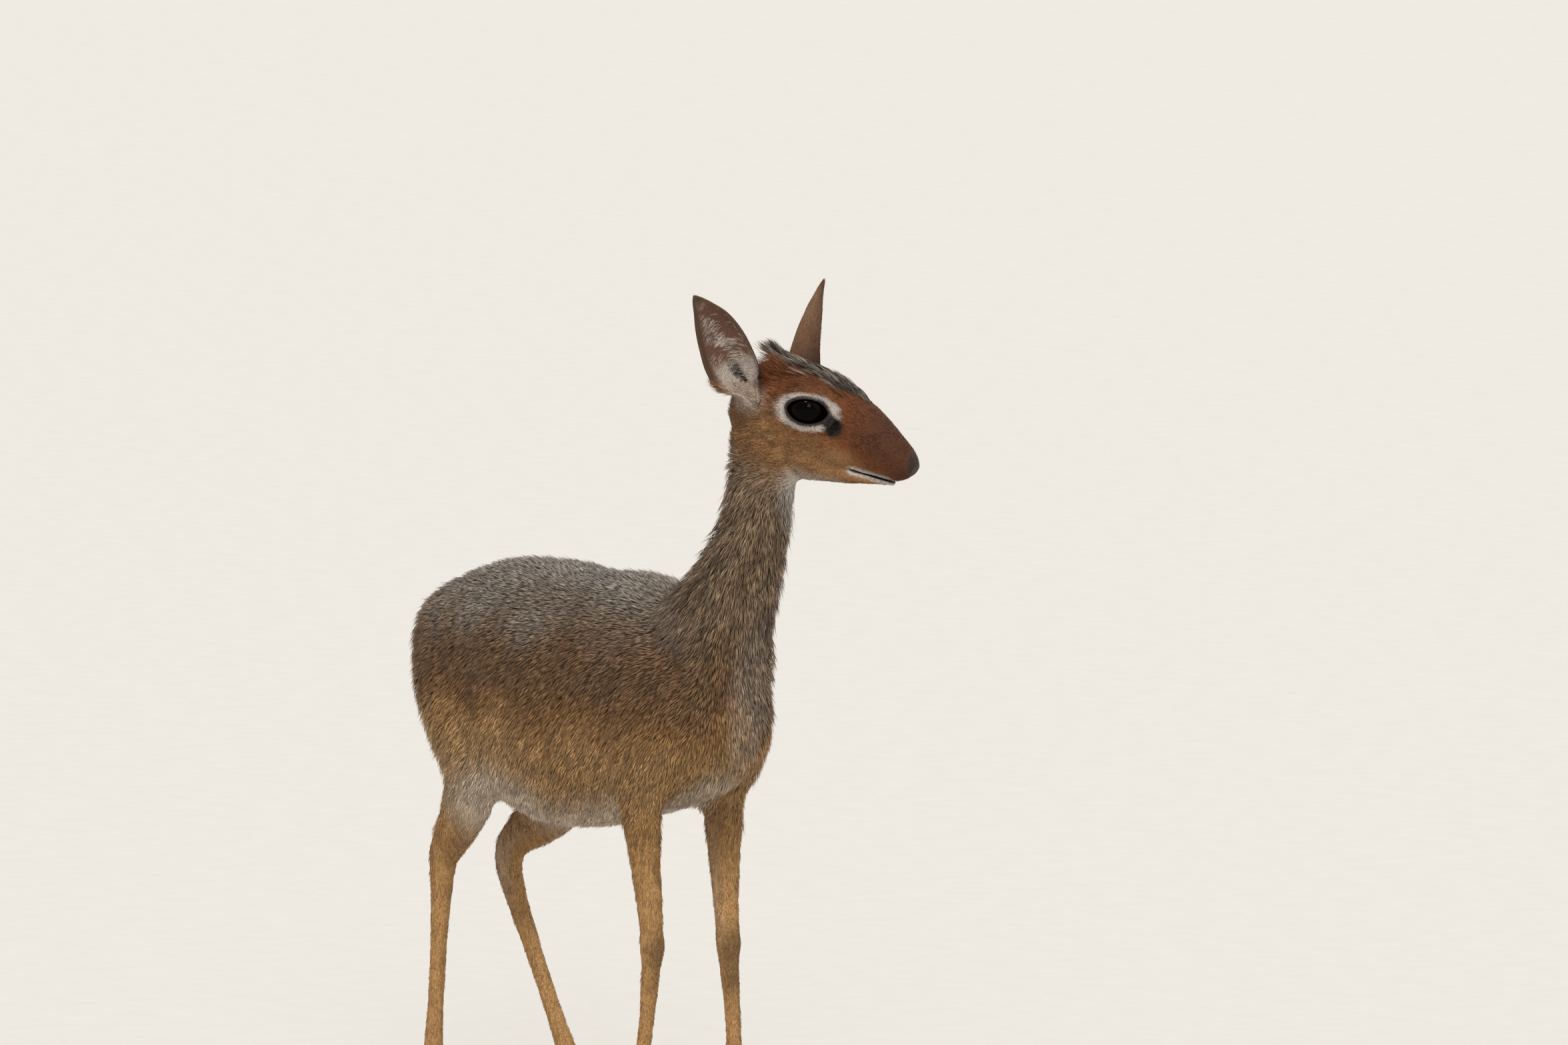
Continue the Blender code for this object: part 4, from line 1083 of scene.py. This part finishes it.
hooves = [name for name in sorted(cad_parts) if name.startswith("hoof")]
for name in hooves:
    edit = bmesh.new()
    edit.from_mesh(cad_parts[name].data)
    bmesh.ops.remove_doubles(edit, verts=edit.verts, dist=1e-6)
    bmesh.ops.dissolve_limit(
        edit, angle_limit=math.radians(0.5), verts=edit.verts, edges=edit.edges
    )
    bmesh.ops.join_triangles(
        edit, faces=edit.faces, angle_face_threshold=math.radians(25),
        angle_shape_threshold=math.radians(70),
    )
    made = keep(name + "_horn", edit)
    limit = {"limit_method": "ANGLE", "angle_limit": math.radians(58)}
    modify(made, "BEVEL", width=RIM_WIDTH, segments=3, **limit)
    apply_all(made)
    made.data.shade_smooth()
    made.data.set_sharp_from_angle(angle=math.radians(65))
    made.data.materials.clear()
    made.data.materials.append(horn_material)
    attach(made, "root")
    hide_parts(name)
print(len(hooves), "hooves")

# %% [markdown]
# ## The lie of the coat
#
# Hair on a running animal lies away from the wind: back along the trunk, down the neck and
# the legs, back over the face and up the ears. At every point of the skin one arrow says
# which way hair lies, laid flat on the surface. Its length, width and lift are numbers that
# fade from one part of the body to the next.


# %% Arrows on the skin
def laid(ways, normals):
    """Arrows laid flat on the surface, each one unit long."""
    flat = ways - normals * (ways * normals).sum(1)[:, None]
    size = np.linalg.norm(flat, axis=1)[:, None]
    return flat / np.maximum(size, 1e-6)


head_turn = np.array(HEAD)[:3, :3]
trunk_way = np.stack([-np.ones(len(body)), 0.05 * y, -0.15 - 1.5 * fade(z, 0.370, 0.270)], 1)
neck_way = np.tile((-0.32, -0.05, -1.0), (len(body), 1))
leg_way = np.tile((-0.10, 0.0, -1.0), (len(body), 1))
face_down = -0.30 * fade(n, 0.020, -0.020)
face_way = np.stack([-np.ones(len(body)), 0.25 * np.sign(left), face_down], 1) @ head_turn.T
way = mixed(trunk_way, leg_way, np.maximum(legs, tail)[:, None])
way = mixed(way, neck_way, neck[:, None])
way = mixed(way, face_way, head[:, None])
ear_way = np.zeros_like(way)
from_rims = -np.sign(ear_across) * ear_inside * fade(edge, 0.98, 0.80) * 1.1
for name, ear in EARS.items():
    up = (LEVEL_TURN @ Vector(ear["lean"])).normalized()
    sideways = np.array(up.cross(LEVEL_TURN @ Vector(ear["opens"])).normalized())
    mine = ear_left == (name == "left")
    ear_way[mine] = np.array(up) * (1 - 0.60 * ear_inside[mine])[:, None]
    ear_way[mine] += sideways * from_rims[mine][:, None]
way = mixed(way, ear_way, is_ear[:, None])
way += 0.16 * np.stack([ripple(body, 0.030, seed) for seed in (11, 12, 13)], 1)
way = laid(way, normals)
# Where an arrow stood straight up, almost nothing is left of it, so all get a tiny push.
way = laid(way + 1e-4, normals)
print("arrows on", len(way), "points")

# %% Length, width, lift and number of hairs
TUFT_BASES = ((0.004, -0.0135, 0.026), (0.004, 0.0135, 0.026))

length = 0.0125 - 0.0020 * fade(z, 0.300, 0.230)
length = length + 0.003 * neck
leg_length = 0.0036 + 0.0034 * fade(z, 0.150, 0.220) + 0.0035 * fade(z, 0.032, 0.022)
length = mixed(length, leg_length, legs)
length = mixed(length, 0.010, tail)
length = mixed(length, 0.0022 + 0.0052 * fade(a, 0.085, 0.000), head)
ear_short = 1 - 0.6 * np.maximum(ear_rim, fade(ear_along, 0.80, 0.95))
ear_length = (0.0028 + 0.0030 * ear_inside) * ear_short
length = mixed(length * (1 - ring * 0.35), ear_length, is_ear)
half = mixed(0.00034, 0.00020, legs)
half = mixed(half, 0.00016, head)
lift = 15 + 9 * (1 - head) * (1 - legs) + 3 * neck - 5 * legs
lift = lift * (1 - is_ear * 0.5)
tuft_here = spots(face, TUFT_BASES, (0.010, 0.007, 0.012), 0.5) * (1 - is_ear)
length = length * (1 - 0.45 * ear_root) + 0.008 * tuft_here
lift = lift + 40 * tuft_here
cover = 1.0 + 1.0 * head + 0.35 * legs
cover = cover * (1 - np.clip(bare, 0, 1)) + 0.9 * is_ear
cover = cover + ear_hollow * (3.2 * fade(np.abs(ear_front - 0.05), 0.10, 0.34) - 1.6)
cover = cover + 0.8 * tuft_here + 2.6 * legs * fade(z, 0.030, 0.020)
print("hair is", round(length.min() * 1000, 1), "to", round(length.max() * 1000, 1), "mm long")

# %% [markdown]
# ## Hairs
#
# Half a million hairs would be needed one by one, so each one here stands for a small tuft:
# a thin blade of three sides that tapers to a point and bends back towards the skin. They
# are worked out together as arrays and joined into pieces. The trunk has seven and the head
# two, so that no piece is too large to be kept whole. Neighbours lean towards a shared tip,
# which breaks the coat into soft locks.


# %% Roots
def scatter(mesh, weights, count, seed):
    """Spreads roots over the mesh, most where the weights are high.

    Joining and bridging leave the faces in an order of their own, so they are sorted first
    and every run draws the same roots.
    """
    chance = np.random.default_rng(seed)
    corners = np.empty(len(mesh.polygons) * 3, int)
    mesh.polygons.foreach_get("vertices", corners)
    corners = np.sort(corners.reshape(-1, 3), axis=1)
    corners = corners[np.lexsort(corners.T)]
    first, second, third = there[corners].transpose(1, 0, 2)
    area = np.linalg.norm(np.cross(second - first, third - first), axis=1) / 2
    reach = np.cumsum(area * weights[corners].mean(1))
    at = (np.arange(count) + chance.uniform(0, 1, count)) / count * reach[-1]
    chosen = np.minimum(np.searchsorted(reach, at), len(corners) - 1)
    share = chance.dirichlet((1, 1, 1), count)
    return corners[chosen], share


def blades(root, normal, way, length, half, lift, bend, roll, rings=2):
    """Closed tapered blades for every root at once.

    Gives their points, their triangles, and how far across and along the blade each point
    of one blade lies.
    """
    count = len(root)
    side = np.cross(normal, way)
    points = np.empty((count, 3 * rings + 1, 3))
    across = np.empty(3 * rings + 1)
    along = np.empty(3 * rings + 1)
    at = root - normal * (length * 0.06)[:, None]
    for ring in range(rings + 1):
        t = ring / rings
        angle = lift * (1 - bend * t)
        ahead = way * np.cos(angle)[:, None] + normal * np.sin(angle)[:, None]
        up = np.cross(ahead, side)
        flat = side * np.cos(roll)[:, None] + up * np.sin(roll)[:, None]
        edge = np.cross(ahead, flat)
        if ring == rings:
            points[:, -1] = at
            across[-1], along[-1] = 0.0, 1.0
            break
        wide = (half * (0.62 + 1.3 * t - 1.5 * t * t))[:, None]
        points[:, 3 * ring] = at - flat * wide
        points[:, 3 * ring + 1] = at + flat * wide
        points[:, 3 * ring + 2] = at + edge * wide * 0.45
        across[3 * ring : 3 * ring + 3] = (-1.0, 1.0, 0.0)
        along[3 * ring : 3 * ring + 3] = t
        at = at + ahead * (length / rings)[:, None]
    sides = []
    for ring in range(rings - 1):
        for i, j in ((0, 1), (1, 2), (2, 0)):
            a0, b0 = 3 * ring + i, 3 * ring + j
            sides += [(a0, b0, b0 + 3), (a0, b0 + 3, a0 + 3)]
    last, tip = 3 * (rings - 1), 3 * rings
    sides += [(last, last + 1, tip), (last + 1, last + 2, tip), (last + 2, last, tip), (0, 2, 1)]
    faces = np.array(sides)[None] + (np.arange(count) * (3 * rings + 1))[:, None, None]
    return points, faces, across, along


# %% Joined pieces of coat
PATCH = 0.0015


def coat_piece(name, made, spread, numbers):
    """One mesh of many blades, with its numbers and the map that its colours are baked on."""
    points, faces, across, along = made
    count, size = points.shape[:2]
    mesh = bpy.data.meshes.new(name)
    mesh.vertices.add(count * size)
    mesh.vertices.foreach_set("co", points.astype(np.float32).ravel())
    corners = faces.reshape(-1).astype(np.int32)
    mesh.loops.add(len(corners))
    mesh.loops.foreach_set("vertex_index", corners)
    mesh.polygons.add(len(corners) // 3)
    mesh.polygons.foreach_set("loop_start", np.arange(0, len(corners), 3, dtype=np.int32))
    mesh.update(calc_edges=True)
    mesh.shade_smooth()
    fan = np.stack([across, 2 * along - 1], 1) * PATCH
    patch = (np.clip(spread, 0.01, 0.99)[:, None, :] + fan[None]).reshape(-1, 2)
    layer = mesh.uv_layers.new(name="OFBake")
    layer.data.foreach_set("uv", patch[corners].astype(np.float32).ravel())
    carry(mesh, {key: np.repeat(values, size) for key, values in numbers.items()})
    carry(mesh, {"along": np.tile(along, count)})
    obj = bpy.data.objects.new(name, mesh)
    bpy.context.scene.collection.objects.link(obj)
    mesh.materials.append(hair_material)
    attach(obj, "root")
    print(name, "has", count, "hairs and", len(corners) // 3, "triangles")


# %% [markdown]
# ## Finish of the hair
#
# A hair of the back is dark at its root, pale below its tip and dark at the tip. The band's
# place differs from hair to hair, which gives the pepper and salt of the coat. Legs and
# face have plainer hair, so the band fades there. Every hair is also painted darker towards
# its root, as shade deep in the coat.

# %% Hair material
paint = Paint("hair")
tip, luck = paint.read("along"), paint.read("chance")
band = tip.between(0.25, 0.55) * (1 - (tip + luck * 0.35).between(0.85, 1.1))
shade = 1 - paint.read("banded") * (1 - band) * 0.62
# The last factor darkens every hair towards its root: painted shade deep in the coat.
shade = shade * (0.45 + luck * 1.0) * (0.55 + tip.between(0.0, 0.5) * 0.45)
grey_shade = paint.node("ShaderNodeCombineColor", {}, {0: shade, 1: shade, 2: shade})
colour = paint.mix(1.0, coat_colour(paint), grey_shade, "MULTIPLY")
hair_material = paint.finish(Base_Color=colour, Roughness=0.6, Specular_IOR_Level=0.3)

# %% Roots of the coat
FULL_HAIRS = 136000
HAIRS = FULL_HAIRS

corners, share = scatter(skin.data, cover, HAIRS, 21)


def at_roots(values):
    """Values of the skin's points, at the roots."""
    if values.ndim == 1:
        return (values[corners] * share).sum(1)
    return (values[corners] * share[:, :, None]).sum(1)


chance = np.random.default_rng(22)
root = at_roots(there)
root_normal = at_roots(normals)
root_normal /= np.linalg.norm(root_normal, axis=1)[:, None]
jitter = chance.normal(size=(HAIRS, 3)) * 0.10
root_way = laid(at_roots(way) + jitter, root_normal)
root_length = at_roots(length) * chance.uniform(0.75, 1.15, HAIRS)
print(HAIRS, "roots")

# %% Locks
LOCK = 0.0065
LOCK_CODE = (92821, 68917, 31)

shift = at_roots(np.stack([ripple(body, 0.02, seed) for seed in (31, 32, 33)], 1)) * 0.002
code = (np.floor((root + shift) / LOCK) * LOCK_CODE).sum(1).astype(np.int64)
_, lock = np.unique(code, return_inverse=True)
size = np.bincount(lock)
middle = np.stack([np.bincount(lock, root[:, i]) / size for i in range(3)], 1)[lock]
gather = (middle + root_way * root_length[:, None] * 1.1 - root) / root_length[:, None]
head_root, neck_root, ear_share = at_roots(head), at_roots(neck), at_roots(is_ear)
tight = (0.42 * (1 - head_root * 0.6) + 0.15 * neck_root) * (1 - ear_share)
root_way = laid(mixed(root_way, gather, tight[:, None]), root_normal)
lock_lift = chance.normal(size=len(size))[lock] * 5.0
root_lift = np.radians(at_roots(lift) + lock_lift + chance.normal(size=HAIRS) * 4)
root_lift = np.clip(root_lift, 0.06, 1.2)
lock_luck = chance.uniform(0, 1, len(size))[lock]
luck = 0.55 * lock_luck + 0.45 * chance.uniform(0, 1, HAIRS)
print(len(size), "locks")

# %% Colours of the hairs
fringe_root = at_roots(fringe)
numbers = {name: at_roots(marks[name]) for name in COAT}
numbers["chance"] = luck + (0.6 - 0.5 * luck) * fringe_root
numbers["dark"] = np.clip(numbers["dark"] + 0.45 * neck_root * (lock_luck > 0.62), 0, 1)
numbers["pale"] = np.maximum(numbers["pale"], fringe_root * np.where(luck > 0.30, 0.84, 0.3))
plain = numbers["russet"] * 0.6, numbers["rust"] * 0.5, numbers["pale"] * 0.8
numbers["banded"] = np.clip(1 - plain[0] - plain[1] - plain[2] - numbers["inner_ear"], 0, 1)
numbers["inner_ear"] = np.zeros(HAIRS)
root_half = at_roots(half) * chance.uniform(0.8, 1.25, HAIRS) * math.sqrt(FULL_HAIRS / HAIRS)
print("the hairs carry", ", ".join(numbers))

# %% Parts of the coat
TRUNK_CUTS = (-1.0, -0.118, -0.075, -0.030, 0.015, 0.060, 0.108, 1.0)
TRUNK_HIGH = 0.30
NECK_MIDDLE = np.array((0.18, 0.008, 0.40))
NECK_WAY = np.array((0.10, 0.10, 0.99))
FACE_FROM = 0.036
SLAB = 0.006

root_body = root + np.array(BODY_ORIGIN)
root_face = in_frame(root, HEAD)
root_left = root_body[:, 1] > 0
root_ear = ear_share > 0.5
root_fore = at_roots(fore) > 0.5
root_hind = at_roots(hind) > 0.5
is_head = (head_root > 0.5) & ~root_ear
is_neck = (neck_root > 0.5) & ~is_head & ~root_ear
is_leg = (root_fore | root_hind) & ~is_neck & ~is_head
is_trunk = ~(is_head | is_neck | is_leg | root_ear)


def wrapped(chosen, long_way, across, up):
    """Places on an unwrap: along a part, and round it."""
    span = long_way[chosen]
    u = (span - span.min()) / max(np.ptp(span), 1e-6)
    v = np.arctan2(across[chosen], up[chosen]) / (2 * math.pi) + 0.5
    return np.stack([0.01 + 0.98 * u, 0.01 + 0.98 * v], 1)


def leg_round(chosen):
    """Across and ahead of the middle line of a leg."""
    x, y, z = root_body[chosen].T
    slab = np.floor((z - z.min()) / SLAB).astype(int)
    size = np.maximum(np.bincount(slab), 1)
    across, ahead = np.zeros((2, HAIRS))
    ahead[chosen] = x - (np.bincount(slab, x) / size)[slab]
    across[chosen] = y - (np.bincount(slab, y) / size)[slab]
    return across, ahead


areas = {}
forward, leftward, high = root_body.T
for i, (start, end) in enumerate(zip(TRUNK_CUTS, TRUNK_CUTS[1:])):
    chosen = is_trunk & (forward >= start) & (forward < end)
    areas[f"coat_trunk_{i + 1}"] = (chosen, (forward, leftward, high - TRUNK_HIGH))
turned = root_body - NECK_MIDDLE
areas["coat_neck"] = (is_neck, (turned @ NECK_WAY, turned[:, 1], turned[:, 0]))
on_face = root_face[:, 0] > FACE_FROM
for name, chosen in (("coat_head", is_head & ~on_face), ("coat_face", is_head & on_face)):
    areas[name] = (chosen, tuple(root_face.T))
for leg, where in (("foreleg", root_fore), ("hindleg", root_hind)):
    for hand, on_left in (("right", ~root_left), ("left", root_left)):
        chosen = is_leg & where & on_left
        areas[f"coat_{leg}_{hand}"] = (chosen, (high, *leg_round(chosen)))
print("parts of the coat:", len(areas))


# %% Grow the coat
def grow(name, pick, spread, slot, bend, roll, longer=1.0, wider=1.0, raised=1.0):
    """Blades on some of the roots, as one piece."""
    made = blades(
        root[pick], root_normal[pick], root_way[pick], root_length[pick] * longer,
        root_half[pick] * wider, root_lift[pick] * raised, bend, roll,
    )
    coat_piece(name, made, spread, {key: values[pick] for key, values in numbers.items()})


for name, (chosen, spread) in areas.items():
    pick = np.nonzero(chosen)[0]
    bend = chance.uniform(0.7, 1.5, len(pick))
    roll = chance.normal(size=len(pick)) * 0.45
    slot = "coat" if "trunk" in name or "neck" in name else "russet_coat"
    grow(name, pick, wrapped(chosen, *spread), slot, bend, roll)

# %% Ears' hair
pick = np.nonzero(root_ear)[0]
inside = fringe_root[pick]
round_ear = 0.25 + 0.2 * at_roots(ear_across)[pick] + 0.5 * (inside > 0.5)
spread = np.stack([at_roots(ear_along)[pick], round_ear], 1)
bend = chance.uniform(0.5, 1.2, len(pick))
roll = chance.normal(size=len(pick)) * 0.5
grow(
    "coat_ears", pick, spread, "russet_coat", bend, roll,
    longer=1 + inside * 0.25, wider=0.9 - 0.30 * inside, raised=0.6 + inside * 0.5,
)

# %% [markdown]
# ## Crest
#
# Between the ears stands a crest of stiff hair, black, grey and buff, that sweeps back over
# the forehead. Its hairs are several times as long as the face's, so each blade has more
# rings and bends. They grow in tufts from the same rows as the solid locks, which they
# stand in for.

# %% Crest: tufts and strands
# Rows: a, half width of the crest, length of its hair and how steeply it stands, in degrees.
CREST = [
    (0.0640, 0.0040, 0.0130, 22),
    (0.0550, 0.0090, 0.0200, 25),
    (0.0460, 0.0105, 0.0215, 25),
    (0.0370, 0.0110, 0.0225, 25),
    (0.0280, 0.0110, 0.0235, 24),
    (0.0190, 0.0105, 0.0245, 30),
    (0.0100, 0.0100, 0.0260, 38),
    (0.0020, 0.0085, 0.0275, 46),
]
STRANDS, TUFTS = 3600, 110
CREST_HALF = 0.00027

tree = BVHTree.FromPolygons(
    [Vector(point) for point in there], [tuple(face.vertices) for face in skin.data.polygons]
)
rows = np.array(CREST)[::-1]
chance = np.random.default_rng(41)


def on_skull(along, across):
    """Where a line straight down on the head meets the skin, and which way the skin faces."""
    return tree.ray_cast(HEAD @ Vector((along, across, 0.08)), HEAD.to_3x3() @ Vector((0, 0, -1)))[:2]


tuft_a = np.sort(chance.uniform(rows[0, 0] - 0.004, rows[-1, 0] + 0.002, TUFTS))
tuft_side = np.clip(chance.normal(size=TUFTS) * 0.62, -1.3, 1.3)
tuft = chance.integers(0, TUFTS, STRANDS)
side_share = tuft_side[tuft]
crest_a = tuft_a[tuft] + chance.normal(size=STRANDS) * 0.0016
wide, reach, rise = [np.interp(crest_a, rows[:, 0], rows[:, i]) for i in (1, 2, 3)]
offset = chance.normal(size=STRANDS) * 0.0010
met = [on_skull(along, across) for along, across in zip(crest_a, side_share * wide + offset)]
crest_root, crest_normal = np.array([m[0] for m in met]), np.array([m[1] for m in met])
print(STRANDS, "strands in", TUFTS, "tufts")

# %% Crest: how each strand lies
tuft_drift = 0.16 * tuft_side + chance.normal(size=TUFTS) * 0.13
drift = tuft_drift[tuft] - offset * 38 + chance.normal(size=STRANDS) * 0.04
crest_way = np.stack([-np.ones(STRANDS), drift, np.zeros(STRANDS)], 1) @ head_turn.T
crest_way = laid(crest_way, crest_normal)
tuft_reach = chance.uniform(0.70, 1.08, TUFTS)
crest_length = reach * tuft_reach[tuft] * chance.uniform(0.80, 1.0, STRANDS)
crest_length = crest_length * (1 - 0.20 * np.abs(side_share))
tuft_rise = chance.normal(size=TUFTS) * 5
crest_lift = rise + tuft_rise[tuft] + chance.normal(size=STRANDS) * 2.5
crest_lift = np.radians(crest_lift - 8 * side_share * side_share)
print("the crest's hair is up to", round(crest_length.max() * 1000, 1), "mm long")

# %% Crest: colours and blades
tuft_luck = chance.uniform(0, 1, TUFTS)[tuft]
rusty = fade(np.abs(side_share), 0.75, 1.2) + fade(crest_a, 0.006, -0.002) * (tuft_luck > 0.5)
rusty = np.clip(rusty, 0, 1)
crest_numbers = dict.fromkeys(COAT, np.zeros(STRANDS))
crest_numbers["grey"] = chance.uniform(0.2, 1, STRANDS)
crest_numbers["pale"] = (0.7 * tuft_luck + 0.3 * chance.uniform(0, 1, STRANDS) > 0.74) * 0.35
black = 0.6 * tuft_luck + 0.4 * chance.uniform(0, 1, STRANDS) < 0.60
crest_numbers["dark"] = black * chance.uniform(0.6, 0.95, STRANDS) * (1 - 0.7 * rusty)
crest_numbers["rust"] = rusty * 0.9
crest_numbers["chance"] = chance.uniform(0, 1, STRANDS)
crest_numbers["banded"] = np.full(STRANDS, 0.5)
crest_half = CREST_HALF * chance.uniform(0.7, 1.3, STRANDS)
bend = chance.uniform(0.9, 1.5, TUFTS)[tuft] - 0.8 * fade(crest_a, 0.016, 0.004)
roll = chance.normal(size=STRANDS) * 0.5
made = blades(
    crest_root, crest_normal, crest_way, crest_length, crest_half, crest_lift, bend, roll, rings=5
)
spread = np.stack([(crest_a - crest_a.min()) / np.ptp(crest_a), 0.5 + side_share * 0.38], 1)
coat_piece("crest", made, spread, crest_numbers)
